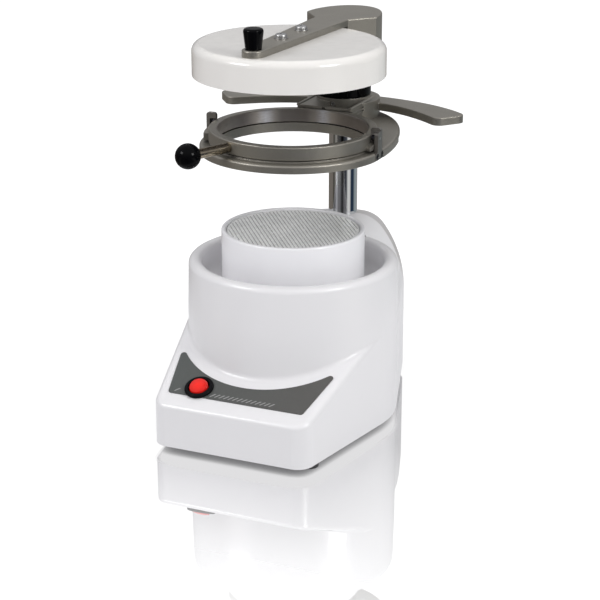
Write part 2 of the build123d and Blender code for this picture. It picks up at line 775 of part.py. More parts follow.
def control_board():
    """Circuit board on its standoffs."""
    y = front_y + board_from_front
    z = z_sheet + board_lift
    board = slab(board_x - board_width / 2, board_x + board_width / 2, y - board_depth / 2,
                 y + board_depth / 2, z, z + board_thick)
    for spot in board_spots():
        board -= disc(m3_thread, z - 1, z + board_thick + 1, *spot)
    return board


def board_standoffs():
    """Plastic standoffs under the board, each with a snap nose through it."""
    z = z_sheet + board_lift
    return [disc(3, z_sheet, z, *spot) + disc(m3_thread - run_gap, z, z + board_thick + 1.5, *spot)
            for spot in board_spots()]


def board_parts():
    """Relay and terminal strip on the board, and their heights."""
    y = front_y + board_from_front
    z = z_sheet + board_lift + board_thick
    long, deep, high = relay_size
    relay_x = board_x - board_width / 4
    relay = slab(relay_x - long / 2, relay_x + long / 2, y - deep / 2, y + deep / 2, z, z + high)
    long, deep, high = strip_size
    strip_x = board_x + board_width / 5
    strip = slab(strip_x - long / 2, strip_x + long / 2, y - deep / 2, y + deep / 2, z, z + high)
    for index in range(strip_wires):
        wire_x = strip_x + (index - (strip_wires - 1) / 2) * strip_pitch
        strip -= disc(strip_pitch / 3, z + high / 2, z + high + 1, wire_x, y)
    return relay, strip


# ------------------------------------------------------------------ vacuum pump
z_can = z_sheet + pump_gap
z_fan_top = z_trough - wall - fan_trough_gap
z_fan = z_fan_top - fan_height
can_length = z_fan - z_can


def post_places():
    """Posts carrying the fan casing on the bottom plate."""
    return [polar(post_circle, 90 + 120 * index, 0, cup_y) for index in range(3)]


def pump_fan_casing():
    """Round fan casing with an inlet eye on top and outlet slots in its side."""
    casing = disc(fan_radius, z_fan, z_fan_top, 0, cup_y)
    casing -= disc(fan_radius - metal_skin, z_fan + metal_skin, z_fan_top - metal_skin, 0, cup_y)
    casing -= disc(duct_radius - 3, z_fan_top - 2 * metal_skin, z_fan_top + 1, 0, cup_y)
    casing -= disc(bearing_outer + run_gap, z_fan - 1, z_fan + 2 * metal_skin, 0, cup_y)
    slots = 10
    for index in range(slots):
        cutter = Pos(fan_radius, 0, z_fan + 8) * Box(8, 9, 9)
        casing -= Pos(0, cup_y, 0) * Rot(0, 0, 360 / slots * (index + 0.5)) * cutter
    for x, y in post_places():
        casing -= disc(m4_thread + seat_gap / 2, z_fan - 1, z_fan + metal_skin + 1, x, y)
    return casing


def pump_motor_can():
    """Open-ended motor can with a bearing seat in its floor."""
    can = disc(can_radius, z_can, z_fan, 0, cup_y)
    can -= disc(can_radius - metal_skin, z_can + metal_skin, z_fan + 1, 0, cup_y)
    can -= disc(bearing_outer + run_gap, z_can - 1, z_can + metal_skin + 1, 0, cup_y)
    vents = 8
    for index in range(vents):
        cutter = Pos(can_radius, 0, z_can + can_length * 0.75) * Box(8, 10, 8)
        can -= Pos(0, cup_y, 0) * Rot(0, 0, 360 / vents * index) * cutter
    return can


def pump_stator():
    """Laminated stator ring pressed into the can."""
    outer = can_radius - metal_skin
    low = z_can + bearing_width + 3
    return ring(outer, outer - stator_wall, low, low + can_length * 0.45, 0, cup_y)


def pump_bearings():
    """Two ball bearings shown as plain rings, one at each end of the motor."""
    low = ring(bearing_outer, shaft_radius, z_can, z_can + bearing_width, 0, cup_y)
    high = ring(bearing_outer, shaft_radius, z_fan - bearing_width + 2 * metal_skin,
                z_fan + 2 * metal_skin, 0, cup_y)
    return [low, high]


def pump_shaft():
    """Motor shaft running in both bearings."""
    return disc(shaft_radius - run_gap, z_can, z_fan_top - fan_height / 4, 0, cup_y)


def pump_armature():
    """Armature on the shaft, inside the stator."""
    outer = can_radius - metal_skin - stator_wall - 1
    low = z_can + bearing_width + 3
    return ring(outer, shaft_radius - run_gap, low, low + can_length * 0.45, 0, cup_y)


def pump_impeller():
    """Fan wheel: back plate, hub and curved blades."""
    low = z_fan + fan_height * 0.4
    wheel = disc(impeller_radius, low, low + metal_skin, 0, 0)
    wheel += disc(3 * shaft_radius, low, low + impeller_height * 0.6, 0, 0)
    start = 4 * shaft_radius
    reach = impeller_radius - 1
    arc = ThreePointArc((start, 0), ((start + reach) / 2, -reach * 0.12), (reach * 0.9, -reach * 0.4))
    blade = trace(arc, blade_thick)
    blade = Pos(0, 0, low + metal_skin) * extrude(blade, impeller_height - metal_skin)
    for index in range(impeller_blades):
        wheel += Rot(0, 0, 360 / impeller_blades * index) * blade
    wheel -= disc(shaft_radius - run_gap, low - 1, low + impeller_height + 1)
    return Pos(0, cup_y, 0) * wheel


def pump_gasket():
    """Rubber ring sealing the fan's eye against the trough floor."""
    return ring(duct_radius + pump_seal_wall, duct_radius, z_fan_top, z_trough - wall, 0, cup_y)


def pump_posts():
    """Three posts from the bottom plate to the fan casing."""
    return [ring(post_radius, m4_thread - 0.3, z_sheet, z_fan, x, y) for x, y in post_places()]


def pump_screws():
    """Screws down through the casing's floor into the posts."""
    return [upright_screw(m4_thread - 0.3, pump_screw_length, z_fan + metal_skin, x, y)
            for x, y in post_places()]


# ------------------------------------------------------------------ column
def flange_screw_places():
    """Screws holding the column's foot flange."""
    circle = (flange_radius + socket_radius) / 2
    return [polar(circle, 45 + 90 * index, 0, column_y) for index in range(4)]


def column_flange():
    """Cast socket on the bottom plate that the column stands in."""
    flange = disc(flange_radius, z_sheet, z_sheet + flange_thick, 0, column_y)
    flange += disc(socket_radius, z_sheet, z_sheet + socket_height, 0, column_y)
    rim = flange.edges().group_by(Axis.Z)[-1]
    flange = chamfer(rim, 1)
    flange -= disc(column_radius, z_sheet + flange_thick / 2, z_sheet + socket_height + 1, 0, column_y)
    for x, y in flange_screw_places():
        flange -= disc(m4_thread, z_sheet - 1, z_sheet + flange_thick + 1, x, y)
    return flange


def flange_screws():
    """Four screws up through the bottom plate into the flange."""
    return [upright_screw(m4_thread, sheet + flange_thick, z_low, x, y, turned=True)
            for x, y in flange_screw_places()]


def column_tube():
    """Chromed column from its socket to the top of the heater hub."""
    tube = ring(column_radius, column_radius - column_wall, z_sheet + flange_thick / 2, z_column_top,
                0, column_y)
    return chamfer(tube.edges().group_by(Axis.Z)[-1], 0.6)


def column_collar():
    """Black collar clamped on the column: top stop of the carriage, rest of the hub."""
    collar = ring(boss_outer, column_radius, z_collar, z_hub - washer_thick, 0, column_y)
    outside = collar.edges().filter_by(GeomType.CIRCLE).sort_by(SortBy.RADIUS)[-2:]
    return chamfer(outside, 0.8)


def thrust_washer():
    """Washer that the heater hub turns on."""
    return ring(boss_outer - 2, column_radius + seat_gap, z_hub - washer_thick, z_hub - run_gap,
                0, column_y)


# ------------------------------------------------------------------ carriage
def frame_plan():
    """Egg-shaped plan of the foil frame: round in front, long behind, around the column."""
    arcs = [ThreePointArc((-frame_radius, 0), (0, -frame_radius), (frame_radius, 0)),
            Line((frame_radius, 0), (frame_radius, egg_start)),
            EllipticalCenterArc((0, egg_start), frame_radius, frame_egg, start_angle=0, arc_size=180),
            Line((-frame_radius, egg_start), (-frame_radius, 0))]
    return Pos(0, cup_y, 0) * make_face(arcs)


def foil_frame():
    """Lower frame that carries the foil: aperture with a raised seat, thinner at the back."""
    frame = Pos(0, 0, z_frame_low) * extrude(frame_plan(), frame_thick)
    rim = frame.edges().group_by(Axis.Z)[-1]
    frame = fillet(rim, 2)
    frame += disc(seat_outer, z_frame - 1, z_seat, 0, cup_y)
    frame -= disc(aperture, z_frame_low - 1, z_seat + 1, 0, cup_y)
    relief = slab(-2 * frame_radius, 2 * frame_radius, cup_y + relief_start, cup_y + 2 * frame_egg,
                  z_frame_low - 1, z_relief)
    frame -= relief - disc(aperture + 8, z_frame_low - 2, z_relief + 1, 0, cup_y)
    frame -= disc(bush_outer + seat_gap, z_frame_low - 1, z_frame + 1, 0, column_y)
    for x, y in saddle_screw_places():
        frame -= disc(m3_thread + seat_gap / 2, z_frame_low - 1, z_frame + 1, x, y)
        frame -= disc(m3_thread * head_ratio + seat_gap, z_frame_low - 1, z_saddle_head(), x, y)
    for sign in (-1, 1):
        frame -= around_ring(bracket_notch(), 90 - 90 * sign)
    return frame


def bracket_notch():
    """Notch in the frame's edge for a bracket's foot, with its screw holes, at the right side."""
    half = bracket_foot / 2 + seat_gap
    notch = slab(bracket_seat, frame_radius + wall, -half, half, z_frame_low - 1, z_frame + 1)
    for sign in (-1, 1):
        hole = Rot(0, 90, 0) * Cylinder(bracket_thread, 2 * bracket_hole_depth)
        notch += Pos(bracket_seat, sign * bracket_screw_half, z_bracket_screw) * hole
    return notch


def saddle_screw_places():
    """Screws up through the frame into the saddle."""
    x = saddle_half - saddle_screw_inset
    return [(sx * x, column_y + dy) for sx in (-1, 1)
            for dy in (-saddle_screw_ahead, saddle_screw_behind)]


def z_saddle_head():
    """Seat of the saddle screws' heads, sunk into the frame from below."""
    return z_relief + m3_thread * head_high_ratio + run_gap


def handle(sign):
    """Bowed handle, flaring to a rounded end; sign picks the side."""
    path = Spline(handle_root, handle_mid, handle_tip)
    across = []
    for place, half in ((0, handle_root_half), (0.5, handle_mid_half), (1, handle_end_half)):
        point = path.position_at(place)
        normal = path.tangent_at(place).rotate(Axis.Z, 90)
        across.append((point + normal * half, point - normal * half))
    tangent = path.tangent_at(1)
    outer = [pair[0] for pair in across]
    inner = [pair[1] for pair in across]
    far = [point + tangent * handle_end_corner for point in (outer[2], inner[2])]
    back_edge = Spline(*outer, tangents=(path.tangent_at(0), tangent))
    front_edge = Spline(*reversed(inner), tangents=(-tangent, -path.tangent_at(0)))
    outline = [back_edge, Line(outer[2], far[0]), Line(far[0], far[1]), Line(far[1], inner[2]),
               front_edge, Line(inner[0], outer[0])]
    face = make_face(outline)
    far_tips = [v for v in face.vertices() if any((v.center() - p).length < 0.01 for p in far)]
    face = fillet(far_tips, handle_end_round)
    solid = extrude(Pos(0, 0, z_boss - handle_drop - handle_thick) * face, handle_thick)
    solid = fillet(solid.edges().group_by(Axis.Z)[-1], 1.0)
    solid = Pos(0, cup_y, 0) * solid
    return solid if sign > 0 else solid.mirror(Plane.YZ)


def carriage():
    """Saddle casting on the column: boss, lipped pocket, side ribs and two bowed handles."""
    low = z_frame
    front = cup_y + saddle_front
    saddle = slab(-saddle_half, saddle_half, front, column_y, low, z_saddle)
    saddle += disc(saddle_back, low, z_saddle, 0, column_y) & slab(
        -saddle_back, saddle_back, column_y - saddle_half, column_y + 2 * saddle_back, low, z_saddle)
    corners = saddle.edges().filter_by(Axis.Z).sort_by(Axis.Y)[:2]
    saddle = fillet(corners, 2)
    for sign in (-1, 1):
        saddle += handle(sign)
    pocket = slab(-lip, saddle_half - lip, front + lip, column_y, z_saddle - pocket_floor, z_saddle + 1)
    pocket -= disc(ring_outer + ring_space + lip / 2, low, z_saddle - lip / 3, 0, cup_y)
    saddle -= pocket - disc(boss_outer, low, z_saddle + 2, 0, column_y)
    saddle -= disc(ring_outer + ring_space, low - 1, z_ring_top + seat_gap, 0, cup_y)
    for sign in (-1, 1):
        rib = slab(-lip / 2, lip / 2, front, column_y + boss_outer / 2, z_saddle - 1, z_saddle + 1)
        rib = fillet(rib.edges().filter_by(Axis.Y).group_by(Axis.Z)[-1], lip * 0.4)
        saddle += Pos(sign * (saddle_half - lip / 2), 0, 0) * rib
        groove = slab(-0.6, 0.6, front + 2 * lip, column_y + boss_outer / 2, -0.6, 0.6)
        for drop in (pocket_floor * 0.55, pocket_floor):
            saddle -= Pos(sign * saddle_half, 0, z_saddle - drop) * groove
    saddle += disc(boss_outer, z_saddle - pocket_floor, z_boss, 0, column_y)
    saddle -= disc(bush_outer, low - 1, low + bush_length, 0, column_y)
    saddle -= disc(column_radius + seat_gap, low, z_boss + 1, 0, column_y)
    for x, y in saddle_screw_places():
        saddle -= disc(m3_thread, low - 1, low + saddle_screw_bite + 1, x, y)
    saddle -= lock_hole(lock_screw_radius, 2 * boss_outer)
    return saddle


def lock_hole(radius, length):
    """Radial cylinder for the friction screw, pointing forward from the column axis."""
    z = (z_saddle + z_boss) / 2 - lock_screw_radius / 2
    y = column_y - column_radius - seat_gap - length / 2
    return Pos(0, y, z - lock_screw_radius) * Rot(90, 0, 0) * Cylinder(radius, length)


def friction_pad():
    """Nylon pad pressed on the column by its screw."""
    return lock_hole(lock_screw_radius - run_gap, 3) & ring(
        2 * boss_outer, column_radius + run_gap, z_frame, z_boss, 0, column_y)


def friction_screw():
    """Hexagon-socket set screw behind the friction pad."""
    length = boss_outer - column_radius - seat_gap - 3
    screw = Cylinder(lock_screw_radius - run_gap, length)
    socket = extrude(RegularPolygon(lock_screw_radius * 0.5, 6), 2)
    screw -= Pos(0, 0, length / 2 - 2) * socket
    z = (z_saddle + z_boss) / 2 - lock_screw_radius * 1.5
    y = column_y - column_radius - seat_gap - 3 - length / 2
    return Pos(0, y, z) * Rot(90, 0, 0) * screw


def carriage_bushes():
    """Bronze bush pressed into the saddle from below."""
    return ring(bush_outer, column_radius + run_gap, z_frame, z_frame + bush_length, 0, column_y)


def saddle_screws():
    """Four screws holding the frame to the saddle."""
    length = z_frame - z_saddle_head() + saddle_screw_bite
    return [upright_screw(m3_thread, length, z_saddle_head(), x, y, turned=True)
            for x, y in saddle_screw_places()]


# ------------------------------------------------------------------ clamp ring
def lug(angle):
    """Wedge lug on the ring: a ramp that the roller presses on when the ring is locked."""
    low = z_ring + seat_gap
    high = low + lug_height
    inner = ring_outer - 0.5
    outer = ring_outer + lug_reach
    middle = (lug_follow - lug_lead) / 2
    sector = make_face(Polyline((0, 0), polar(2 * outer, -lug_lead), polar(2 * outer, middle),
                                polar(2 * outer, lug_follow), close=True))
    piece = ring(outer, inner, low, high) & extrude(sector, high + 1)
    slope = degrees(atan2(lug_fall, ring_outer * radians(lug_lead)))
    knife = Rot(slope, 0, 0) * Pos(0, 0, z_ring / 2) * Box(4 * outer, 4 * outer, z_ring)
    piece -= Pos(0, 0, high) * knife
    return Pos(0, cup_y, 0) * Rot(0, 0, angle) * piece


def clamp_ring():
    """Clamp ring: round-edged ring with two wedge lugs and a boss hole for its handle."""
    body = ring(ring_outer, ring_inner, z_ring, z_ring_top, 0, cup_y)
    body = fillet(body.edges().filter_by(GeomType.CIRCLE), ring_round)
    for angle in (0, 180):
        body += lug(angle)
    bite = (ring_outer - ring_inner) / 2
    return body - ball_line(rod_start - bite, 2 * bite, rod_radius - 1)


def ball_line(start, length, radius):
    """Cylinder along the handle's axis, from a distance outside the ring's inner wall."""
    middle = ring_inner - 1 + start + length / 2
    x, y = polar(middle, 270 - ball_angle, 0, cup_y)
    turn = Rot(0, 0, 270 - ball_angle) * Rot(0, 90, 0)
    return Pos(x, y, z_ball) * turn * Cylinder(radius, length)


def handle_rod():
    """Steel rod from the clamp ring to the ball, necked where it screws into the ring."""
    bite = (ring_outer - ring_inner) / 2
    neck = ball_line(rod_start - bite, bite + 1, rod_radius - 1)
    return neck + ball_line(rod_start, rod_length, rod_radius)


def handle_ball():
    """Black ball knob on the end of the rod."""
    x, y = polar(ball_reach, 270 - ball_angle, 0, cup_y)
    return Pos(x, y, z_ball) * Sphere(ball_radius) - ball_line(rod_start, rod_length, rod_radius)


def bracket():
    """Bracket let into the frame's edge: foot, post with the roller pin's bore, hooked finger."""
    half = bracket_width / 2
    low = z_frame_low + seat_gap
    foot = slab(bracket_inner, bracket_outer, -bracket_foot / 2, bracket_foot / 2, low, z_frame - seat_gap)
    post = slab(bracket_inner, bracket_outer, -half, half, low, z_hook + half * 0.6)
    post = fillet(post.edges().filter_by(Axis.X).group_by(Axis.Z)[-1], half * 0.6)
    hook = slab(bracket_outer - bracket_finger, bracket_outer, half - bracket_thick, half,
                z_hook, z_ring_top + bracket_hook_rise)
    hook = fillet(hook.edges().filter_by(Axis.Y).group_by(Axis.Z)[-1], bracket_hook_rise / 2.5)
    piece = foot + post + hook
    piece -= Pos(bracket_outer, 0, z_roller) * Rot(0, 90, 0) * Cylinder(roller_pin, 20)
    for sign in (-1, 1):
        spot = Pos(bracket_outer, sign * bracket_screw_half, z_bracket_screw) * Rot(0, 90, 0)
        piece -= spot * Cylinder(bracket_thread + seat_gap / 2, 20)
        piece -= spot * Cylinder(bracket_thread * head_ratio + seat_gap, 2 * bracket_screw_sink)
    return piece


def around_ring(piece, angle):
    """Turn a piece made at the ring's right side to another place around the ring."""
    return Pos(0, cup_y, 0) * Rot(0, 0, angle) * piece


def roller():
    """Steel roller inside the post."""
    start = bracket_inner - roller_length - seat_gap / 2
    middle = start + roller_length / 2
    wheel = Cylinder(roller_radius, roller_length) - Cylinder(roller_pin + run_gap, 2 * roller_length)
    return Pos(middle, 0, z_roller) * Rot(0, 90, 0) * wheel


def roller_pin_piece():
    """Pin through the post that carries the roller."""
    inner = bracket_inner - roller_length - seat_gap
    pin = Cylinder(roller_pin, bracket_outer - inner)
    return Pos((bracket_outer + inner) / 2, 0, z_roller) * Rot(0, 90, 0) * pin


def bracket_screws():
    """Two screws sunk into each bracket's foot."""
    length = bracket_thick - bracket_screw_sink + bracket_screw_bite
    screws = []
    for angle in (0, 180):
        for sign in (-1, 1):
            screw = Rot(0, 90, 0) * upright_screw(bracket_thread, length, 0, 0, 0)
            spot = Pos(bracket_outer - bracket_screw_sink, sign * bracket_screw_half, z_bracket_screw)
            screws.append(around_ring(spot * screw, angle))
    return screws


# ------------------------------------------------------------------ heater head
def arm_plan():
    """Plan of the arm: rounded tip under the knob, widening beam, flared shoulders, round hub."""
    tip_y = -arm_tip_reach
    outline = [Line((arm_tip_half, tip_y), (arm_root_half, hub_front)),
               Line((arm_root_half, hub_front), (hub_half, hub_shoulder)),
               EllipticalCenterArc((0, hub_shoulder), hub_half, hub_back, start_angle=0, arc_size=180),
               Line((-hub_half, hub_shoulder), (-arm_root_half, hub_front)),
               Line((-arm_root_half, hub_front), (-arm_tip_half, tip_y)),
               ThreePointArc((-arm_tip_half, tip_y), (0, tip_y - arm_tip_half), (arm_tip_half, tip_y))]
    return Pos(0, cup_y, 0) * make_face(outline)


def heater_arm():
    """Swinging arm: beam over the dome and deep hub on the column."""
    arm = Pos(0, 0, z_hub) * extrude(arm_plan(), hub_height)
    front = slab(-2 * hub_half, 2 * hub_half, cup_y - front_reach, cup_y + hub_front,
                 z_hub - 1, z_dome_top)
    arm -= front
    top_edges = arm.edges().filter_by_position(Axis.Z, z_arm - 0.01, z_arm + 0.01)
    arm = fillet(top_edges, 1.2)
    arm -= disc(bush_outer, z_hub - 1, z_arm - hub_roof, 0, column_y)
    for x, y in head_screw_places():
        arm -= disc(m5_thread + seat_gap / 2, z_dome_top - 1, z_arm + 1, x, y)
    arm -= disc(stud_radius, z_dome_top + 1, z_arm + 1, 0, cup_y - arm_tip_reach)
    return arm


def swung(shape):
    """Turn a piece of the head about the column to its place at rest."""
    return Pos(0, column_y, 0) * Rot(0, 0, head_swing) * Pos(0, -column_y, 0) * shape


def head_screw_places():
    """Two screws through the beam into the dome."""
    return [(0, cup_y - head_screw_near), (0, cup_y + head_screw_far)]


def hub_bush():
    """Bronze bush in the hub, running on the column's top."""
    return ring(bush_outer, column_radius + run_gap, z_hub, z_column_top, 0, column_y)


def heater_dome():
    """Enamelled dome with a rounded top edge and an open underside."""
    dome = disc(dome_radius, z_dome, z_dome_top, 0, cup_y)
    dome = fillet(dome.edges().group_by(Axis.Z)[-1], dome_round)
    hollow = disc(dome_radius - dome_wall, z_dome - 1, z_dome_top - dome_wall, 0, cup_y)
    hollow = fillet(hollow.edges().group_by(Axis.Z)[-1], dome_round - dome_wall)
    dome -= hollow
    for x, y in head_screw_places():
        dome -= disc(m5_thread + seat_gap / 2, z_dome, z_dome_top + 1, x, y)
    return dome


def dome_washers():
    """Washers under the two head screws."""
    high = 0.8
    return [ring(m5_thread * 2.2, m5_thread + run_gap, z_arm, z_arm + high, x, y)
            for x, y in head_screw_places()]


def dome_screws():
    """Pan-head screws through arm, dome and insulation carrier."""
    length = arm_thick + dome_wall + 8
    return [upright_screw(m5_thread, length, z_arm + 0.8, x, y) for x, y in head_screw_places()]


def arm_knob():
    """Black tapered knob with a slightly domed top."""
    x, y = 0, cup_y - arm_tip_reach
    knob = spun([(0, z_arm), (knob_low_radius, z_arm), (knob_top_radius, z_arm + knob_height * 0.8),
                 (knob_top_radius, z_arm + knob_height), (0, z_arm + knob_height)], y)
    top = knob.edges().filter_by(GeomType.CIRCLE).group_by(Axis.Z)[-1]
    knob = fillet(top, 2.2)
    return knob - disc(stud_radius, z_arm - 1, z_arm + knob_height / 2, x, y)


def knob_stud():
    """Threaded stud joining the knob to the arm."""
    return disc(stud_radius, z_dome_top + 1, z_arm + knob_height / 2, 0, cup_y - arm_tip_reach)


def z_insulation():
    """Lower face of the insulation disc inside the dome."""
    return z_dome_top - dome_wall - insulation_thick


def heater_insulation():
    """Ceramic fibre disc inside the dome."""
    radius = dome_radius - dome_wall - dome_round
    block = disc(radius, z_insulation(), z_dome_top - dome_wall, 0, cup_y)
    for x, y in head_screw_places():
        block -= disc(m5_thread, z_insulation() - 1, z_dome_top, x, y)
    return block


def heater_reflector():
    """Shallow bright tray under the insulation."""
    outer = dome_radius - dome_wall - dome_round
    top = z_insulation()
    inner = outer - tray_thick
    return spun([(0, top), (outer, top), (outer, top - tray_depth), (inner, top - tray_depth),
                 (inner, top - tray_thick), (0, top - tray_thick)], cup_y)


def element_path():
    """Spiral of half turns, each one a larger arc than the last, with straight ends up."""
    edges = []
    side = 1
    centre = 0.0
    radius = element_inner
    start = (centre + radius, 0)
    for index in range(element_half_turns):
        end = (centre - side * radius, 0)
        middle = (centre, side * radius)
        edges.append(ThreePointArc(start, middle, end))
        side_next = -side
        growth = element_pitch / 2
        centre = end[0] + side * (radius + growth)
        radius += growth
        start = end
        side = side_next
    return edges


def element_gap():
    """Least gap between neighbouring turns of the element, measured on points."""
    points = []
    for edge in element_path():
        points += [edge.position_at(step / 24) for step in range(24)]
    least = 1e9
    turn = 24 * 2 - 12
    for first in range(len(points)):
        for second in range(first + turn, len(points)):
            least = min(least, (points[first] - points[second]).length)
    return least - 2 * element_radius


def heater_element():
    """Tubular heating element wound as one unbroken spiral below the reflector."""
    edges = element_path()
    path = Wire(edges)
    start = edges[0]
    section = Plane(origin=start.position_at(0), z_dir=start.tangent_at(0)) * Circle(element_radius)
    coil = sweep(section, path=path)
    z = z_insulation() - tray_thick - element_radius - seat_gap
    return Pos(0, cup_y, z) * coil


def element_clips():
    """Three clips hanging the element from the reflector."""
    z_top = z_insulation() - tray_thick
    z_bar = z_top - 2 * element_radius - 2 * seat_gap
    reach = element_inner + (element_half_turns - 1) * element_pitch / 2 + element_radius + 1
    clips = []
    for angle in (90, 210, 330):
        bar = slab(element_inner, reach + clip_thick, -clip_half, clip_half, z_bar - clip_thick, z_bar)
        post = slab(reach, reach + clip_thick, -clip_half, clip_half, z_bar - clip_thick, z_top)
        clips.append(Pos(0, cup_y, 0) * Rot(0, 0, angle) * (bar + post))
    return clips


# ------------------------------------------------------------------ write every node
def main():
    save(housing_shell(), "housing_shell")
    save(bottom_plate(), "bottom_plate")
    save_group(bottom_screws(), "bottom_plate_screws")
    save_group(rubber_feet(), "rubber_feet")
    save_group(feet_screws(), "feet_screws")
    save(forming_cup(), "forming_cup")
    save(plate_gasket(), "cup_gasket")
    save_group(cup_screws(), "cup_screws")
    save(perforated_plate(), "perforated_plate")
    save(control_panel(), "control_panel")
    save(switch_bezel(), "switch_bezel")
    save(switch_body(), "switch_body")
    save(switch_rocker(), "switch_rocker")
    save(rocker_pin(), "rocker_pin")
    save(power_inlet(), "power_inlet")
    save_group(inlet_screws(), "inlet_screws")
    save(fuse_holder(), "fuse_holder")
    save(control_board(), "control_board")
    save_group(board_standoffs(), "board_standoffs")
    save_group(board_parts(), "board_parts")
    save(pump_fan_casing(), "pump_fan_casing")
    save(pump_motor_can(), "pump_motor_can")
    save(pump_stator(), "pump_stator")
    save_group(pump_bearings(), "pump_bearings")
    save_group([pump_shaft(), pump_armature()], "pump_rotor")
    save(pump_impeller(), "pump_impeller")
    save(pump_gasket(), "pump_gasket")
    save_group(pump_posts(), "pump_posts")
    save_group(pump_screws(), "pump_screws")
    save(column_flange(), "column_flange")
    save_group(flange_screws(), "flange_screws")
    save(column_tube(), "column_tube")
    save(column_collar(), "column_collar")
    save(thrust_washer(), "thrust_washer")
    save(foil_frame(), "foil_frame")
    save(carriage(), "carriage")
    save(carriage_bushes(), "carriage_bush")
    save_group(saddle_screws(), "saddle_screws")
    save(friction_pad(), "friction_pad")
    save(friction_screw(), "friction_screw")
    save(clamp_ring(), "clamp_ring")
    save(handle_rod(), "handle_rod")
    save(handle_ball(), "handle_ball")
    for side, angle in (("right", 0), ("left", 180)):
        save(around_ring(bracket(), angle), f"bracket_{side}")
        save(around_ring(roller(), angle), f"roller_{side}")
    save_group([around_ring(roller_pin_piece(), angle) for angle in (0, 180)], "roller_pins")
    save_group(bracket_screws(), "bracket_screws")
    save(swung(heater_arm()), "heater_arm")
    save(swung(hub_bush()), "hub_bush")
    save(swung(heater_dome()), "heater_dome")
    save_group([swung(washer) for washer in dome_washers()], "dome_washers")
    save_group([swung(screw) for screw in dome_screws()], "dome_screws")
    save(swung(arm_knob()), "arm_knob")
    save(swung(knob_stud()), "knob_stud")
    save(swung(heater_insulation()), "heater_insulation")
    save(swung(heater_reflector()), "heater_reflector")
    save(swung(heater_element()), "heater_element")
    save_group([swung(clip) for clip in element_clips()], "element_clips")
    print("least gap between turns of the heating element:", round(element_gap(), 2), "mm")
    print("overall height:", round(z_arm + knob_height, 1), "mm; cup axis at Y", round(cup_y, 2))
    print("travel of the carriage:", round(stroke, 1), "mm")


main()
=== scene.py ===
import math

import bmesh
import bpy
from mathutils import Matrix, Vector
from mathutils.geometry import delaunay_2d_cdt


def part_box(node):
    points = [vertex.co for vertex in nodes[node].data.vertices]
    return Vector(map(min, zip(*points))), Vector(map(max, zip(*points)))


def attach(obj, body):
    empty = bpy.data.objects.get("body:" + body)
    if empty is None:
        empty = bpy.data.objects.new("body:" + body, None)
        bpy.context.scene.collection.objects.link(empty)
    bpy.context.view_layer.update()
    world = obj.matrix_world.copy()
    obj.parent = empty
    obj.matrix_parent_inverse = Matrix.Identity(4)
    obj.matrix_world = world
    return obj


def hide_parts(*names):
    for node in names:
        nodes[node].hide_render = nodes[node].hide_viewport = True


# Looks of the dental vacuum former: a material for every node of the model, the fine model
# plate, the panel's row of dashes and a plain white studio.  Metres, the model's own frame.

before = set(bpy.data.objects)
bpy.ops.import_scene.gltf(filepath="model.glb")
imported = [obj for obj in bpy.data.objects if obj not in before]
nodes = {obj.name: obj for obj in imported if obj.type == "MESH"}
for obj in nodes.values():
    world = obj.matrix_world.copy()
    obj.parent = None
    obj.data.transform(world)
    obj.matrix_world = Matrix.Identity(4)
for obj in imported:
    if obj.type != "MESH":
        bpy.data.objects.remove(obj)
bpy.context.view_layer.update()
mm = 0.001


# ------------------------------------------------------------------ the model's places
def middle(node):
    """Middle of a node's box, which lies on its axis where the node is round."""
    low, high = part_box(node)
    return (low + high) / 2


cup_axis = middle("forming_cup")
column_axis = middle("column_tube")
ring_axis = middle("clamp_ring")
plate_low, plate_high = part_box("perforated_plate")
panel_low, panel_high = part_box("control_panel")
bezel_low, bezel_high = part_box("switch_bezel")
shell_low, shell_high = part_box("housing_shell")

ring_inner = 60 * mm                # radius inside the clamp ring
ring_bare = ring_inner + 0.5 * mm   # radius inside which its metal is bare
deck_angle = math.radians(22.8)     # slope of the deck under the panel
panel_thick = 0.8 * mm
panel_front_half = 57.7 * mm        # half the panel's lower edge

# ------------------------------------------------------------------ the view, from the photo
view_azimuth = math.radians(24.0)   # from the front towards the right
view_elevation = math.radians(19.2)
view_distance = 1.556
view_lens = 114.0         # millimetres, on the sensor below
view_sensor = 36.0        # millimetres
aim_right = 5.6 * mm      # aim point from the cup's axis, across the view
aim_height = 97.6 * mm

# ------------------------------------------------------------------ node kit
white = (1.0, 1.0, 1.0)
mix_first, mix_second, mix_result = 6, 7, 2           # colour sockets of a Mix node
number_steps = ("LENGTH", "DISTANCE", "DOT_PRODUCT")  # vector arithmetic that gives a number
usual_noise = (0.3, 0.7)  # most of a noise's values lie between these
edge_turn = (0.97, 0.80)  # cosine of softened to true normal, where an edge begins and is full
bevel_samples = 6


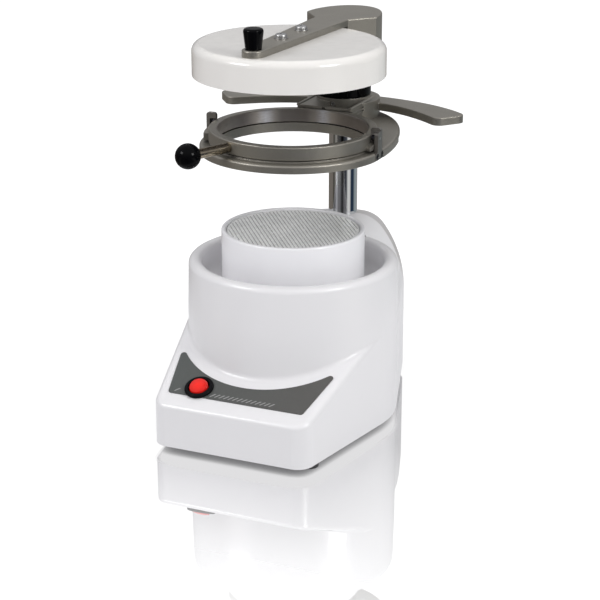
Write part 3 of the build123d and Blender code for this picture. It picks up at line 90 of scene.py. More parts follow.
class Nodes:
    """A node tree and short ways to add to it."""

    def __init__(self, tree):
        self.tree = tree

    def node(self, kind, inputs=(), **settings):
        """Add a node; inputs are (socket, value or output) pairs, settings are its properties.
        A colour is given as three numbers."""
        made = self.tree.nodes.new(kind)
        for key, value in settings.items():
            setattr(made, key, value)
        for socket, value in inputs:
            if isinstance(value, bpy.types.NodeSocket):
                self.tree.links.new(value, made.inputs[socket])
            elif made.inputs[socket].type == "RGBA":
                made.inputs[socket].default_value = (*value, 1)
            else:
                made.inputs[socket].default_value = value
        return made

    def calc(self, operation, *values):
        """One step of arithmetic."""
        return self.node("ShaderNodeMath", enumerate(values), operation=operation).outputs[0]

    def vector(self, operation, *values):
        """One step of vector arithmetic."""
        made = self.node("ShaderNodeVectorMath", enumerate(values), operation=operation)
        return made.outputs["Value" if operation in number_steps else "Vector"]

    def ranged(self, value, span, target):
        """Map a value linearly from one pair of limits to another, held at the ends."""
        limits = zip(("From Min", "From Max", "To Min", "To Max"), (*span, *target))
        return self.node("ShaderNodeMapRange", (("Value", value), *limits)).outputs[0]

    def mixed(self, share, first, second, blend="MIX"):
        """Colour between two colours."""
        made = self.node("ShaderNodeMix", (("Factor", share), (mix_first, first), (mix_second, second)),
                         data_type="RGBA", blend_type=blend)
        return made.outputs[mix_result]

    def ramp(self, value, stops):
        """Colour along a value, from (position, grey or colour) stops."""
        made = self.node("ShaderNodeValToRGB", ((0, value),))
        elements = made.color_ramp.elements
        while len(elements) < len(stops):
            elements.new(0.5)  # its place is set below
        for element, (position, tone) in zip(elements, stops):
            element.position = position
            element.color = (tone, tone, tone, 1) if isinstance(tone, float) else (*tone, 1)
        return made.outputs[0]

    def light(self, kind, color, strength=1.0):
        """A shader that gives light of its own."""
        return self.node(kind, (("Color", color), ("Strength", strength))).outputs[0]

    def matt(self, color):
        """A plain matt shader."""
        return self.node("ShaderNodeBsdfDiffuse", (("Color", color),)).outputs[0]

    def between(self, share, first, second):
        """Shader between two shaders."""
        return self.node("ShaderNodeMixShader", ((0, share), (1, first), (2, second))).outputs[0]


class Surface(Nodes):
    """A material being made: a principled shader and short ways to feed it."""

    def __init__(self, name, color, roughness, metallic=0.0, **extra):
        self.material = bpy.data.materials.new(name)
        self.material.use_nodes = True
        super().__init__(self.material.node_tree)
        self.shader = self.tree.nodes["Principled BSDF"]
        self.place = self.tree.nodes.new("ShaderNodeTexCoord").outputs["Object"]
        self.shader.inputs["Base Color"].default_value = (*color, 1)
        self.shader.inputs["Roughness"].default_value = roughness
        self.shader.inputs["Metallic"].default_value = metallic
        for socket, value in extra.items():
            self.shader.inputs[socket.replace("_", " ")].default_value = value
        self.color = color

    def feed(self, socket, output):
        """Join an output to the shader."""
        self.tree.links.new(output, self.shader.inputs[socket])

    def noise(self, size, detail, factors=None):
        """Cloudy noise whose patches are about the given size in metres.  Factors scale the axes,
        for grain that runs one way."""
        place = self.vector("MULTIPLY", self.place, factors) if factors else self.place
        return self.node("ShaderNodeTexNoise", (("Vector", place), ("Scale", 1 / size),
                                                ("Detail", detail))).outputs[0]

    def tone(self, factor):
        """The material's colour, lighter or darker."""
        return tuple(min(1.0, channel * factor) for channel in self.color)

    def clouded(self, size, detail, dark, light):
        """The material's colour in cloudy patches, from darker to lighter."""
        return self.mixed(self.noise(size, detail), self.tone(dark), self.tone(light))

    def uneven(self, size, detail, low, high, factors=None):
        """A value in cloudy patches, between two limits."""
        return self.ranged(self.noise(size, detail, factors), usual_noise, (low, high))

    def specks(self, spacing, strength, reach, core=0.0):
        """Mask of scattered specks, full within core and gone at reach, as shares of the spacing."""
        spots = self.node("ShaderNodeTexVoronoi", (("Vector", self.place), ("Scale", 1 / spacing)))
        return self.ranged(spots.outputs["Distance"], (core, reach), (strength, 0.0))

    def rounded(self, radius):
        """Normal of edges softened by a radius."""
        return self.node("ShaderNodeBevel", (("Radius", radius),), samples=bevel_samples).outputs[0]

    def edges(self, radius, strength):
        """Mask of the edges, which leaves out flat and gently curved faces."""
        normal = self.node("ShaderNodeNewGeometry").outputs["Normal"]
        facing = self.vector("DOT_PRODUCT", self.rounded(radius), normal)
        return self.ranged(facing, edge_turn, (0.0, strength))

    def open_air(self, reach, samples):
        """How free a spot is of what stands within reach: 1 in the open, 0 deep in a gap."""
        near = self.node("ShaderNodeAmbientOcclusion", (("Distance", reach),), samples=samples)
        return near.outputs["AO"]

    def bumps(self, layers, edge_radius=0.0):
        """Relief from (height, depth in metres) layers, on top of softened edges if asked."""
        normal = self.rounded(edge_radius) if edge_radius else None
        for height, depth in layers:
            inputs = [("Height", height), ("Distance", depth), ("Strength", 1.0)]
            if normal is not None:
                inputs.append(("Normal", normal))
            normal = self.node("ShaderNodeBump", inputs).outputs[0]
        self.feed("Normal", normal)

    def off_axis(self, axis):
        """Place as seen from an upright axis."""
        return self.vector("SUBTRACT", self.place, (axis.x, axis.y, 0))

    def from_axis(self, axis):
        """Distance from an upright axis."""
        return self.vector("LENGTH", self.vector("MULTIPLY", self.off_axis(axis), (1, 1, 0)))

    def around(self, axis):
        """Direction about an upright axis as 0 to 1: 0.5 is the front, 0.75 the right side."""
        parts = self.node("ShaderNodeSeparateXYZ", (("Vector", self.off_axis(axis)),)).outputs
        angle = self.calc("ARCTAN2", parts["X"], self.calc("MULTIPLY", parts["Y"], -1.0))
        return self.ranged(angle, (-math.pi, math.pi), (0.0, 1.0))


# ------------------------------------------------------------------ materials
def moulded_plastic(name, color, roughness):
    """Glossy moulded plastic: faint flow clouds, a fine skin and a slightly uneven gloss."""
    s = Surface(name, color, roughness, Coat_Weight=0.45, Coat_Roughness=0.07)
    s.feed("Base Color", s.clouded(size=70 * mm, detail=1, dark=0.985, light=1.010))
    s.feed("Roughness", s.uneven(size=6 * mm, detail=4, low=roughness - 0.03, high=roughness + 0.04))
    s.bumps([(s.noise(60 * mm, 1), 0.05 * mm), (s.noise(0.7 * mm, 2), 0.002 * mm)])
    return s.material


def enamel(name, color):
    """Thick glossy enamel over sheet: orange-peel ripple and small specks in the coat."""
    s = Surface(name, color, roughness=0.22, Coat_Weight=0.6, Coat_Roughness=0.06)
    specks = s.specks(spacing=5 * mm, strength=0.25, reach=0.07)
    s.feed("Base Color", s.mixed(specks, s.clouded(size=50 * mm, detail=2, dark=0.98, light=1.01),
                                 s.tone(0.72)))
    s.feed("Roughness", s.uneven(size=9 * mm, detail=3, low=0.19, high=0.26))
    s.bumps([(s.noise(2.4 * mm, 2), 0.010 * mm), (s.noise(35 * mm, 1), 0.10 * mm)])
    return s.material


# Painted reflections on the clamp ring's inside, light streaks and dark stretches, and where they lie by
# direction about its axis.
painted_streak = (0.90, 0.91, 0.96)
worn = (0.50, 0.46, 0.42)
deep = (0.30, 0.27, 0.245)
ring_reflection_stops = [(0.0, painted_streak), (0.018, worn), (0.040, deep), (0.092, deep), (0.106, worn), (0.128, painted_streak),
              (0.150, worn), (0.185, (0.38, 0.34, 0.31)), (0.30, worn), (0.75, worn), (0.92, deep),
              (0.962, deep), (0.978, worn), (1.0, painted_streak)]


def turned_metal_with_painted_reflections(s, axis):
    """Bare metal turned round an axis: painted reflections as light streaks and dark stretches by
    direction, tool marks and stains.
    """
    tool_mark = (0.30, 0.27, 0.25)
    stain = (0.26, 0.23, 0.21)
    marks = s.uneven(size=0.5 * mm, detail=2, low=0.0, high=0.35, factors=(0.12, 0.12, 1.0))
    # painted reflections: the ramp lays light streaks and dark stretches by direction about the axis
    metal = s.mixed(marks, s.ramp(s.around(axis), ring_reflection_stops), tool_mark)
    return s.mixed(s.ranged(s.noise(9 * mm, 3), (0.45, 0.7), (0.0, 0.25)), metal, stain)


def cast_paint(name, machined_inside=None):
    """Metallic stove paint on a casting: flakes, a pebbly skin, bright rubbed edges, and painted
    shade that darkens it where little light falls.  machined_inside is an axis and a radius inside
    which the metal is bare, with painted reflections."""
    s = Surface(name, color=(0.338, 0.320, 0.282), roughness=0.42, metallic=0.82)
    rubbed = (0.58, 0.56, 0.53)
    flakes = s.specks(spacing=0.55 * mm, strength=0.30, reach=0.45, core=0.05)
    # painted shade: where nearby parts close a spot in, the paint darkens towards a quarter of its tone
    painted_shade = s.ranged(s.open_air(45 * mm, samples=6), (0.20, 0.70), (0.45, 0.0))
    paint = s.clouded(size=14 * mm, detail=4, dark=0.90, light=1.05)
    paint = s.mixed(flakes, paint, s.tone(1.65))
    paint = s.mixed(s.edges(0.7 * mm, strength=0.45), paint, rubbed)
    paint = s.mixed(painted_shade, paint, s.tone(0.25))
    rough = s.uneven(size=1.1 * mm, detail=3, low=0.36, high=0.50)
    skin = s.noise(0.9 * mm, 3)
    if machined_inside:
        axis, radius = machined_inside
        bare = s.ranged(s.from_axis(axis), (radius, radius + 0.1 * mm), (1.0, 0.0))
        paint = s.mixed(bare, paint, turned_metal_with_painted_reflections(s, axis))
        rough = s.calc("SUBTRACT", rough, s.calc("MULTIPLY", bare, 0.06))
        skin = s.calc("MULTIPLY", skin, s.ranged(bare, (0.0, 1.0), (1.0, 0.15)))
    s.feed("Base Color", paint)
    s.feed("Roughness", rough)
    s.bumps([(skin, 0.020 * mm), (s.noise(7 * mm, 2), 0.02 * mm)], edge_radius=0.5 * mm)
    return s.material


def polished_chrome(name, color=(0.82, 0.83, 0.85), roughness=0.06, reflection_bands=None):
    """Polished chrome with faint lengthwise wiping marks.  reflection_bands is an axis and tones at
    directions about it that multiply the chrome's colour: painted reflections in stripes."""
    s = Surface(name, color, roughness, metallic=1.0)
    wiping = s.noise(1.2 * mm, 3, factors=(1.0, 1.0, 0.02))
    smears = s.noise(8 * mm, 4, factors=(1, 1, 0.2))
    tone = s.mixed(wiping, s.tone(0.93), s.tone(1.03))
    if reflection_bands:
        axis, stops = reflection_bands
        # painted reflections: the chrome's tone is multiplied by dark and light stripes set by direction
        tone = s.mixed(1.0, tone, s.ramp(s.around(axis), stops), blend="MULTIPLY")
    s.feed("Base Color", tone)
    s.feed("Roughness", s.ranged(smears, (0.3, 0.75), (roughness * 0.7, roughness * 1.9)))
    s.bumps([(wiping, 0.0010 * mm), (s.noise(30 * mm, 1, factors=(1, 1, 0.3)), 0.006 * mm)])
    return s.material


# Painted reflections round the column, by direction about its axis: dark and light stripes on the side
# that faces the camera.
column_reflection_stops = [(0.440, 1.0), (0.447, 0.48), (0.461, 0.34), (0.475, 0.45), (0.487, 1.0), (0.499, 0.80),
                (0.511, 0.40), (0.522, 0.46), (0.534, 0.36), (0.545, 0.15), (0.556, 0.04), (0.567, 0.15),
                (0.578, 0.32), (0.600, 0.42), (0.611, 0.75), (0.622, 1.0)]


def bare_metal(name, color, roughness, grain=0.8 * mm, stain=0.25):
    """Machined or rolled metal: fine grain, handling stains, softened edges."""
    s = Surface(name, color, roughness, metallic=1.0)
    stains = s.ranged(s.noise(4 * mm, 5), (0.45, 0.75), (0.0, stain))
    s.feed("Base Color", s.mixed(stains, s.clouded(grain, detail=2, dark=0.9, light=1.08), s.tone(0.6)))
    s.feed("Roughness", s.uneven(2.5 * grain, detail=4, low=roughness * 0.8, high=roughness * 1.25))
    s.bumps([(s.noise(grain, 2), 0.006 * mm)], edge_radius=0.25 * mm)
    return s.material


def black_moulding(name, roughness, color=(0.0016, 0.0016, 0.0020), coat=0.10):
    """Black plastic: dust on it, an uneven gloss and a faint waviness."""
    s = Surface(name, color, roughness, Coat_Weight=coat, Coat_Roughness=0.04, Specular_IOR_Level=0.03)
    dust = (0.06, 0.06, 0.06)
    specks = s.specks(spacing=2.2 * mm, strength=0.35, reach=0.05)
    s.feed("Base Color", s.mixed(specks, s.clouded(size=10 * mm, detail=3, dark=0.8, light=1.3), dust))
    s.feed("Roughness", s.uneven(size=3 * mm, detail=4, low=roughness * 0.8, high=roughness * 1.4))
    s.bumps([(s.noise(14 * mm, 1), 0.006 * mm)], edge_radius=0.2 * mm)
    return s.material


def rubber(name):
    """Matt rubber with a powdery skin."""
    s = Surface(name, color=(0.035, 0.035, 0.036), roughness=0.75)
    s.feed("Base Color", s.clouded(size=3 * mm, detail=5, dark=0.7, light=1.9))
    s.bumps([(s.noise(0.5 * mm, 3), 0.02 * mm)], edge_radius=0.4 * mm)
    return s.material


def lit_lens(name):
    """Red rocker lit from inside: brightest at the middle of its crown, deep red at its edge."""
    s = Surface(name, color=(0.80, 0.012, 0.006), roughness=0.16, Coat_Weight=0.45,
                Coat_Roughness=0.04, Specular_IOR_Level=0.15, Subsurface_Weight=0.15,
                Subsurface_Scale=2 * mm, Emission_Strength=0.19)
    dark_red, lit_red = (0.45, 0.004, 0.003), (0.85, 0.018, 0.010)
    dark_glow, lit_glow = (0.20, 0.0, 0.0), (1.0, 0.025, 0.012)
    from_middle = s.vector("DISTANCE", s.place, middle("switch_rocker"))
    glow = s.ranged(from_middle, (4.5 * mm, 8.5 * mm), (1.0, 0.25))
    cloud = s.uneven(size=2.5 * mm, detail=2, low=0.85, high=1.1)
    s.feed("Base Color", s.mixed(glow, dark_red, lit_red))
    s.feed("Emission Color", s.mixed(s.calc("MULTIPLY", glow, cloud), dark_glow, lit_glow))
    s.bumps([(s.noise(1.5 * mm, 2), 0.008 * mm)])
    return s.material


def panel_film(name):
    """Dark printed film: fine embossed grain, and a painted reflection that shifts it from green to
    brown across it.
    """
    s = Surface(name, color=(0.068, 0.072, 0.069), roughness=0.42)
    greenish, brownish = (0.064, 0.072, 0.069), (0.076, 0.072, 0.067)
    raised = (0.105, 0.110, 0.105)
    across = s.node("ShaderNodeSeparateXYZ", (("Vector", s.place),)).outputs["X"]
    # painted reflection: the film's colour runs from greenish at the left to brownish at the right
    film = s.mixed(s.ranged(across, (panel_low.x, panel_high.x), (0.0, 1.0)), greenish, brownish)
    grain = s.noise(0.35 * mm, 2)
    s.feed("Base Color", s.mixed(s.ranged(grain, (0.35, 0.65), (0.0, 0.35)), film, raised))
    s.feed("Roughness", s.uneven(size=5 * mm, detail=3, low=0.36, high=0.48))
    s.bumps([(grain, 0.012 * mm)], edge_radius=0.2 * mm)
    return s.material


def print_ink(name, color):
    """Screen-printed ink, a little uneven."""
    s = Surface(name, color, roughness=0.5)
    s.feed("Base Color", s.clouded(size=0.8 * mm, detail=3, dark=0.82, light=1.08))
    s.bumps([(s.noise(0.3 * mm, 2), 0.004 * mm)])
    return s.material


def satin_plate(name):
    """Pale satin metal of the model plate, with rub marks and dust from casts in its texture, and
    painted shade inside its holes."""
    s = Surface(name, color=(0.92, 0.925, 0.92), roughness=0.42, metallic=0.15)
    plaster = (0.80, 0.79, 0.76)
    rubbed = s.ranged(s.noise(9 * mm, 5), (0.4, 0.7), (0.0, 1.0))
    dust = s.ranged(s.noise(1.5 * mm, 4), (0.5, 0.8), (0.0, 0.5))
    skin = s.mixed(dust, s.mixed(rubbed, s.tone(0.92), s.tone(1.06)), plaster)
    # painted shade: the plate's colour drops to a sixth where the hole walls close a spot in
    outside = s.ranged(s.open_air(1.5 * mm, samples=8), (0.45, 0.90), (0.0, 1.0))
    s.feed("Base Color", s.mixed(outside, s.tone(0.16), skin))
    s.feed("Roughness", s.ranged(rubbed, (0.0, 1.0), (0.32, 0.48)))
    s.bumps([(s.noise(0.6 * mm, 3), 0.008 * mm)])
    return s.material


def plain_solid(name, color, roughness, cloud=2 * mm, contrast=0.15, relief=0.02 * mm):
    """Unpolished non-metal, such as nylon, laminate or fibre board."""
    s = Surface(name, color, roughness)
    s.feed("Base Color", s.clouded(cloud, detail=5, dark=1 - contrast, light=1 + contrast))
    s.feed("Roughness", s.uneven(2 * cloud, detail=3, low=roughness * 0.85, high=roughness * 1.1))
    s.bumps([(s.noise(cloud / 2, 3), relief)], edge_radius=0.2 * mm)
    return s.material


def circuit_board(name):
    """Green laminate with paler tracks running across and along."""
    s = Surface(name, color=(0.012, 0.11, 0.045), roughness=0.35)
    track_green = (0.03, 0.24, 0.09)
    tracks = s.node("ShaderNodeTexBrick", (("Vector", s.place), ("Scale", 1 / (9 * mm)),
                                           ("Mortar Size", 0.06), ("Mortar Smooth", 0.1),
                                           ("Brick Width", 0.9), ("Row Height", 0.35))).outputs["Fac"]
    laminate = s.clouded(size=1 * mm, detail=2, dark=0.8, light=1.1)
    s.feed("Base Color", s.mixed(tracks, laminate, track_green))
    s.bumps([(tracks, 0.03 * mm)])
    return s.material


def hot_steel(name):
    """Steel sheath of the element, blued and browned by heat in patches."""
    s = Surface(name, color=(0.23, 0.20, 0.18), roughness=0.42, metallic=0.9)
    browned, blued = (0.26, 0.20, 0.15), (0.16, 0.17, 0.21)
    heat = s.ranged(s.noise(12 * mm, 4), (0.35, 0.65), (0.0, 1.0))
    s.feed("Base Color", s.mixed(heat, browned, blued))
    s.bumps([(s.noise(0.5 * mm, 3), 0.01 * mm)])
    return s.material


def make_materials():
    """Every material by the name used in the table below."""
    return {
        "housing": moulded_plastic("housing_white", (0.778, 0.769, 0.781), 0.33),
        "cup": moulded_plastic("cup_white", (0.875, 0.870, 0.892), 0.34),
        "dome": enamel("dome_enamel", (0.785, 0.764, 0.735)),
        "cast": cast_paint("cast_paint"),
        "ring": cast_paint("ring_paint", machined_inside=(ring_axis, ring_bare)),
        "chrome": polished_chrome("column_chrome", reflection_bands=(column_axis, column_reflection_stops)),
        "rod": polished_chrome("rod_chrome", (0.44, 0.38, 0.29), 0.14),
        "screw": bare_metal("screw_steel", (0.50, 0.50, 0.50), 0.36),
        "dark": bare_metal("blackened_steel", (0.055, 0.055, 0.060), 0.37, grain=1 * mm, stain=0.3),
        "bracket": bare_metal("bracket_steel", (0.33, 0.315, 0.295), 0.40, stain=0.4),
        "zinc": bare_metal("zinc_sheet", (0.60, 0.61, 0.63), 0.36, grain=3 * mm, stain=0.35),
        "iron": bare_metal("core_iron", (0.20, 0.20, 0.21), 0.5, grain=1.5 * mm, stain=0.4),
        "tray": bare_metal("bright_tray", (0.84, 0.84, 0.85), 0.16, grain=2 * mm, stain=0.3),
        "bronze": bare_metal("sintered_bronze", (0.60, 0.42, 0.20), 0.37, grain=0.4 * mm, stain=0.5),
        "element": hot_steel("element_sheath"),
        "black": black_moulding("black_gloss", 0.10),
        "satin": black_moulding("black_satin", 0.36, color=(0.006, 0.006, 0.007), coat=0.05),
        "rubber": rubber("foot_rubber"),
        "lens": lit_lens("rocker_lens"),
        "paint": plain_solid("sheet_paint", (0.74, 0.74, 0.75), 0.45, cloud=1.5 * mm, contrast=0.03,
                             relief=0.03 * mm),
        "film": panel_film("panel_film"),
        "plate": satin_plate("plate_satin"),
        "nylon": plain_solid("nylon", (0.74, 0.72, 0.66), 0.5),
        "fibre": plain_solid("fibre_board", (0.78, 0.75, 0.69), 0.9, cloud=1 * mm, contrast=0.12,
                             relief=0.2 * mm),
        "board": circuit_board("board_laminate"),
        "component": plain_solid("component_body", (0.03, 0.035, 0.05), 0.45),
    }


looks = {
    "housing": ["housing_shell"],
    "cup": ["forming_cup"],
    "dome": ["heater_dome"],
    "cast": ["foil_frame", "carriage", "heater_arm"],
    "ring": ["clamp_ring"],
    "chrome": ["column_tube"],
    "rod": ["handle_rod"],
    "screw": ["bottom_plate_screws", "feet_screws", "cup_screws", "rocker_pin", "inlet_screws",
              "pump_bearings", "pump_screws", "flange_screws", "saddle_screws", "friction_screw",
              "roller_pins", "dome_washers", "dome_screws", "knob_stud"],
    "dark": ["roller_right", "roller_left", "bracket_screws"],
    "bracket": ["bracket_right", "bracket_left"],
    "paint": ["bottom_plate"],
    "zinc": ["pump_fan_casing", "pump_motor_can", "pump_posts"],
    "iron": ["pump_stator", "pump_rotor", "column_flange"],
    "tray": ["heater_reflector", "element_clips", "pump_impeller"],
    "bronze": ["carriage_bush", "hub_bush"],
    "element": ["heater_element"],
    "black": ["handle_ball", "arm_knob", "column_collar"],
    "satin": ["switch_bezel", "switch_body", "power_inlet", "fuse_holder"],
    "rubber": ["rubber_feet", "cup_gasket", "pump_gasket"],
    "lens": ["switch_rocker"],
    "film": ["control_panel"],
    "plate": ["perforated_plate"],
    "nylon": ["board_standoffs", "thrust_washer", "friction_pad"],
    "fibre": ["heater_insulation"],
    "board": ["control_board"],
    "component": ["board_parts"],
}


def dress_nodes(materials):
    """Give every node of the model its material."""
    for look, names in looks.items():
        for name in names:
            mesh = nodes[name].data
            mesh.materials.clear()
            mesh.materials.append(materials[look])
    bare = set(nodes) - {name for names in looks.values() for name in names}
    assert not bare, f"nodes without a material: {sorted(bare)}"


# ------------------------------------------------------------------ pieces
def new_object(name, mesh, material):
    """Put a mesh into the scene with its material."""
    piece = bpy.data.objects.new(name, mesh)
    bpy.context.scene.collection.objects.link(piece)
    mesh.materials.append(material)
    return piece


def new_piece(name, made, material):
    """Put finished mesh work into the scene."""
    mesh = bpy.data.meshes.new(name)
    made.to_mesh(mesh)
    made.free()
    return new_object(name, mesh, material)


plate_pitch = 1.75 * mm   # between holes along a row
plate_row = 3.0 * mm      # between rows
plate_hole = 0.57 * mm    # radius
plate_turn = math.radians(-53.6)  # rows run from the column side to the front, by the switch
plate_margin = 1.6 * mm   # bare edge of the plate
hole_corners = 14         # of a hole's outline
rim_corners = 160         # of the plate's
inside_outlines = 1       # kind of triangulation, which keeps what lies inside an outline
same_point = 1e-7         # points closer than this are one


def hole_centres(radius):
    """Staggered rows of hole centres inside a radius, turned as the plate lies in the cup."""
    rows = int(radius / plate_row) + 1
    half_row = int(radius / plate_pitch) + 1
    centres = []
    for row in range(-rows, rows + 1):
        shift = plate_pitch / 2 if row % 2 else 0.0
        for column in range(-half_row, half_row + 1):
            spot = Vector((column * plate_pitch + shift, row * plate_row))
            if spot.length < radius:
                spot.rotate(Matrix.Rotation(plate_turn, 2))
                centres.append(spot)
    return centres


def circle(centre, radius, count):
    """Corner points of a round outline."""
    return [centre + Vector((radius * math.cos(2 * math.pi * k / count),
                             radius * math.sin(2 * math.pi * k / count))) for k in range(count)]


def fine_plate(material):
    """The model plate with its close field of small holes, each one cut through."""
    radius = (plate_high.x - plate_low.x) / 2
    outlines = [circle(Vector((0, 0)), radius, rim_corners)]
    outlines += [circle(spot, plate_hole, hole_corners) for spot in hole_centres(radius - plate_margin)]
    points = []
    faces = []
    for outline in outlines:
        faces.append(list(range(len(points), len(points) + len(outline))))
        points += outline
    flat_points, _, triangles, _, _, origins = delaunay_2d_cdt(points, [], faces, inside_outlines,
                                                               same_point)
    made = bmesh.new()
    top = [made.verts.new((cup_axis.x + p.x, cup_axis.y + p.y, plate_high.z)) for p in flat_points]
    for triangle, origin in zip(triangles, origins):
        if origin == [0]:  # inside the rim's outline and no hole's
            made.faces.new([top[index] for index in triangle])
    bmesh.ops.recalc_face_normals(made, faces=made.faces)
    if made.faces[0].normal.z < 0:
        bmesh.ops.reverse_faces(made, faces=made.faces)
    loose = [vert for vert in made.verts if not vert.link_faces]
    bmesh.ops.delete(made, geom=loose, context="VERTS")
    rim = [edge for edge in made.edges if edge.is_boundary]
    for grown in bmesh.ops.extrude_edge_only(made, edges=rim)["geom"]:
        if isinstance(grown, bmesh.types.BMVert):
            grown.co.z = plate_low.z
    piece = new_piece("model_plate_fine", made, material)
    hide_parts("perforated_plate")
    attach(piece, "base")


dash_pitch = 3.9 * mm
dash_long = 3.6 * mm      # along the slope of the deck
dash_lean = 3.5 * mm      # top of a dash to the right of its foot
dash_wide = 1.2 * mm
dash_thick = 0.05 * mm
dash_from_edge = 2.2 * mm  # panel's lower edge to the dashes
dash_margin = 4.0 * mm    # panel's left side to the first dash
dash_share = 0.78         # of the panel's width, from its left
dash_clear = 0.6 * mm     # from the switch's bezel


def panel_dashes(material):
    """Row of fine slanted dashes printed along the panel's lower edge, broken by the switch."""
    slope = Vector((0, math.cos(deck_angle), math.sin(deck_angle)))
    out = Vector((0, -math.sin(deck_angle), math.cos(deck_angle)))
    under_edge = Vector((0, panel_low.y + panel_thick * math.sin(deck_angle), panel_low.z))
    corner = under_edge + panel_thick * out
    bezel = middle("switch_bezel") - corner
    bezel_spot = Vector((bezel.x, bezel.dot(slope)))
    bezel_radius = (bezel_high.x - bezel_low.x) / 2
    made = bmesh.new()
    count = int((2 * panel_front_half * dash_share - dash_margin) / dash_pitch)
    for index in range(count):
        x = dash_margin - panel_front_half + index * dash_pitch
        foot = [(x, 0), (x + dash_wide, 0)]
        head = [(u + dash_lean, dash_long) for u, _ in reversed(foot)]
        spots = [Vector((u, dash_from_edge + v)) for u, v in foot + head]
        if min((spot - bezel_spot).length for spot in spots) < bezel_radius + dash_clear:
            continue
        low = [made.verts.new(corner + Vector((spot.x, 0, 0)) + slope * spot.y) for spot in spots]
        high = [made.verts.new(vert.co + out * dash_thick) for vert in low]
        made.faces.new(high)
        for a in range(len(low)):
            b = (a + 1) % len(low)
            made.faces.new((low[a], low[b], high[b], high[a]))
    piece = new_piece("panel_dashes", made, material)
    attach(piece, "base")


# ------------------------------------------------------------------ floor
floor_half = 4.0          # half the floor's side
paper_glow = 0.82         # light that the floor gives off by itself, where 1 is white
paper_matt = 0.36         # tone under the lamps, added to that, which keeps the shadow
mirror_most = 0.95        # share of the mirror image right in front of the housing
mirror_end = 0.272        # distance from the housing at which the mirror image is gone
contact_reach = 30 * mm   # how near things stand that darken the floor
contact_samples = 16
contact_open = (0.10, 0.50)           # openness of the floor where it is darkest, and where it is pale
contact_dark = (0.16, 0.16, 0.165)    # painted shadow on the floor right under the housing's edge
contact_tone = (0.745, 0.740, 0.750)  # painted reflection: the floor beside the housing, as pale as its mirror image
contact_fade = (-3 * mm, 1 * mm)      # where that tone begins to fade and ends, from its outline

front_half = 67.5 * mm    # half the housing's lower front edge, measured to where its sides meet it
back_half = 37.0 * mm     # the same at the back
side_blend = 8 * mm       # smooth joint of the sides
end_blend = 34 * mm       # the same at the corners, which rounds them like the housing
lowest = -1.0             # below any side's distance near the housing


def tangent_side(corner):
    """Outward direction of the line in plan from a corner that touches the bowl, and how far out
    it lies."""
    bowl_radius = shell_high.x
    away = (corner - cup_axis).to_2d()
    turn = math.asin(bowl_radius / away.length) - math.atan2(away.x, abs(away.y))
    outward = Vector((math.cos(turn), math.copysign(math.sin(turn), away.y), 0))
    return outward, bowl_radius + outward.dot(cup_axis)


def from_housing(s, shift=(0, 0, 0)):
    """Distance in plan outside the housing's outline, with the outline moved by a shift.  It is
    worked out from the sides on the right and the two ends, and is the same on the left."""
    sides = [tangent_side(Vector((front_half, shell_low.y, 0))),
             (Vector((1, 0, 0)), shell_high.x),
             tangent_side(Vector((back_half, shell_high.y, 0)))]
    ends = [(Vector((0, -1, 0)), -shell_low.y), (Vector((0, 1, 0)), shell_high.y)]
    moved = s.vector("SUBTRACT", s.place, shift)
    folded = s.vector("MAXIMUM", moved, s.vector("MULTIPLY", moved, (-1, 1, 1)))
    outside = lowest
    for lines, blend in ((sides, side_blend), (ends, end_blend)):
        for outward, reach in lines:
            past = s.calc("SUBTRACT", s.vector("DOT_PRODUCT", folded, outward), reach)
            outside = s.calc("SMOOTH_MAX", outside, past, blend)
    return outside


def seen_floor(s):
    """The floor where it is seen: white, with a soft shadow and a mirror image of what stands on
    it close by.  Between the housing and its mirror image it is painted as pale as they are, and a
    painted shadow darkens it under the housing's edge."""
    glow = s.light("ShaderNodeEmission", [paper_glow] * 3)
    plain = s.node("ShaderNodeAddShader", ((0, glow), (1, s.matt([paper_matt] * 3)))).outputs[0]
    mirror = s.node("ShaderNodeBsdfAnisotropic", (("Roughness", 0.0), ("Color", white))).outputs[0]
    gap = shell_low.z / math.tan(view_elevation)  # of floor seen before the mirror image begins
    share = s.ranged(from_housing(s), (gap, mirror_end), (mirror_most, 0.0))
    table = s.between(share, plain, mirror)
    shift = (gap * math.sin(view_azimuth), -gap * math.cos(view_azimuth), 0)
    beside = s.ranged(from_housing(s, shift), contact_fade, (1.0, 0.0))
    # painted shadow: the floor's glow goes from contact_dark where things stand close over it to
    # contact_tone in the open
    open_share = s.ranged(s.open_air(contact_reach, contact_samples), contact_open, (0.0, 1.0))
    edge_line = s.light("ShaderNodeEmission", s.mixed(open_share, contact_dark, contact_tone))
    return s.between(beside, table, edge_line)


# Tones of the room round the table, and where they lie by direction about the column's axis.
blue_grey = (0.12, 0.13, 0.155)
taupe = (0.17, 0.15, 0.13)
deep_blue = (0.02, 0.035, 0.06)
studio_stops = [(0.0, taupe), (0.30, taupe), (0.352, (0.13, 0.12, 0.10)), (0.376, (0.50, 0.48, 0.43)),
                (0.395, (0.42, 0.40, 0.36)), (0.42, (0.14, 0.13, 0.12)), (0.50, (0.11, 0.11, 0.11)),
                (0.525, (0.02, 0.02, 0.02)), (0.545, (0.03, 0.03, 0.03)), (0.575, blue_grey),
                (0.635, blue_grey), (0.668, (0.66, 0.66, 0.64)), (0.720, (0.60, 0.60, 0.58)),
                (0.750, deep_blue), (0.812, deep_blue), (0.86, (0.26, 0.30, 0.31)),
                (1.0, (0.36, 0.37, 0.37))]
table_tone = (0.75, 0.75, 0.77)
table_edge = (0.25, 0.40)         # from the column, where the room begins to show and is all
bounce_tone = (0.72, 0.72, 0.73)  # floor as it lights the part from below


def glossy_floor(s):
    """The floor as glossy surfaces see it: a pale table with a darker room beyond."""
    room = s.ramp(s.around(column_axis), studio_stops)
    beyond = s.ranged(s.from_axis(column_axis), table_edge, (0.0, 1.0))
    return s.light("ShaderNodeEmission", s.mixed(beyond, table_tone, room))


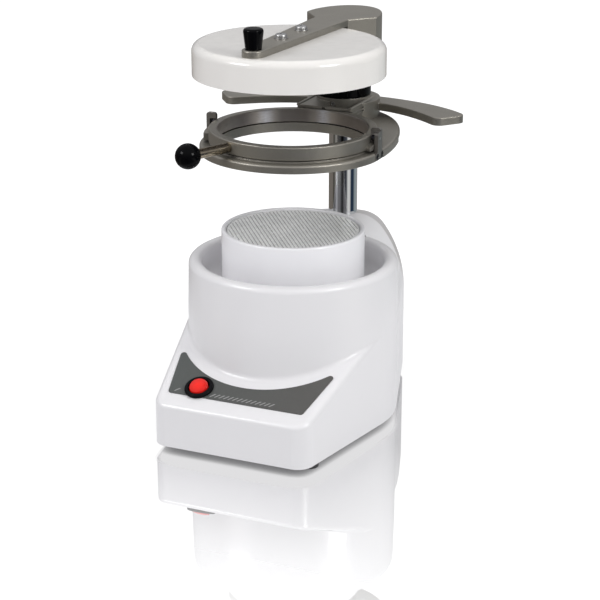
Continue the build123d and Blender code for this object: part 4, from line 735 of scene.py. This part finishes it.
def studio_floor():
    """Floor that looks different to the camera, to glossy surfaces and to diffuse light."""
    mesh = bpy.data.meshes.new("floor")
    corners = [(-floor_half, -floor_half, 0), (floor_half, -floor_half, 0),
               (floor_half, floor_half, 0), (-floor_half, floor_half, 0)]
    mesh.from_pydata(corners, [], [(0, 1, 2, 3)])
    s = Surface("floor_white", color=(0.8, 0.8, 0.8), roughness=0.5)
    floor = new_object("floor", mesh, s.material)
    rays = s.node("ShaderNodeLightPath").outputs
    seen = s.calc("MAXIMUM", rays["Is Camera Ray"], rays["Is Transmission Ray"])
    unseen = s.between(rays["Is Glossy Ray"], s.matt(bounce_tone), glossy_floor(s))
    final = s.between(seen, unseen, seen_floor(s))
    s.tree.links.new(final, s.tree.nodes["Material Output"].inputs["Surface"])


# ------------------------------------------------------------------ light and camera
soft_tint = (0.97, 0.98, 1.0)
soft_level = 0.62         # diffuse light from all round
sky_stops = [(0.05, (0.16, 0.16, 0.17)), (0.75, (0.70, 0.70, 0.71))]  # by height, for glossy surfaces
lamp_target = Vector((0, 0, 160 * mm))  # the lamps face this point


def studio_world():
    """White where it is seen, soft and even for diffuse light, a darker room for glossy surfaces."""
    world = bpy.data.worlds.new("studio")
    bpy.context.scene.world = world
    world.use_nodes = True
    world.node_tree.nodes.clear()
    w = Nodes(world.node_tree)
    rays = w.node("ShaderNodeLightPath").outputs
    direction = w.node("ShaderNodeTexCoord").outputs["Generated"]
    height = w.node("ShaderNodeSeparateXYZ", (("Vector", direction),)).outputs["Z"]
    backdrop = w.light("ShaderNodeBackground", white)
    soft = w.light("ShaderNodeBackground", soft_tint, soft_level)
    room = w.light("ShaderNodeBackground", w.ramp(height, sky_stops))
    seen = w.calc("MAXIMUM", rays["Is Camera Ray"], rays["Is Singular Ray"])
    seen = w.calc("MAXIMUM", seen, rays["Is Transmission Ray"])
    final = w.between(seen, w.between(rays["Is Glossy Ray"], soft, room), backdrop)
    w.node("ShaderNodeOutputWorld", (("Surface", final),))


def soft_box(name, place, size, power, tint=white, glossy=True):
    """Rectangular lamp that faces the part, with or without a reflection of its own."""
    lamp = bpy.data.lights.new(name, "AREA")
    lamp.shape = "RECTANGLE"
    lamp.size, lamp.size_y = size
    lamp.energy = power
    lamp.color = tint
    made = bpy.data.objects.new(name, lamp)
    bpy.context.scene.collection.objects.link(made)
    made.location = place
    made.rotation_euler = (lamp_target - Vector(place)).to_track_quat("-Z", "Y").to_euler()
    made.visible_glossy = glossy


def studio_lamps():
    """Soft boxes above the front left corner and at the right, and a wide one overhead."""
    soft_box("key_box", place=(-1.05, -1.25, 1.25), size=(0.75, 0.5), power=11.2, tint=(1.0, 0.99, 1.0))
    soft_box("fill_box", place=(1.50, -0.45, 1.05), size=(0.6, 0.5), power=11.5, tint=(1.0, 1.0, 0.985))
    soft_box("top_box", place=(0.0, 0.25, 1.7), size=(1.1, 0.9), power=6.5, glossy=False)


def photo_camera():
    """Camera at the photo's angle and framing."""
    across = Vector((math.cos(view_azimuth), math.sin(view_azimuth), 0))
    back = Vector((math.sin(view_azimuth) * math.cos(view_elevation),
                   -math.cos(view_azimuth) * math.cos(view_elevation), math.sin(view_elevation)))
    aim = Vector((cup_axis.x, cup_axis.y, aim_height)) + across * aim_right
    data = bpy.data.cameras.new("camera")
    data.lens = view_lens
    data.sensor_width = view_sensor
    camera = bpy.data.objects.new("camera", data)
    bpy.context.scene.collection.objects.link(camera)
    camera.location = aim + back * view_distance
    camera.rotation_euler = (-back).to_track_quat("-Z", "Y").to_euler()
    bpy.context.scene.camera = camera


# ------------------------------------------------------------------ the scene
materials = make_materials()
dress_nodes(materials)
fine_plate(materials["plate"])
panel_dashes(print_ink("dash_ink", (0.32, 0.32, 0.315)))
studio_floor()
studio_world()
studio_lamps()
photo_camera()
bpy.context.scene.view_settings.view_transform = "Standard"
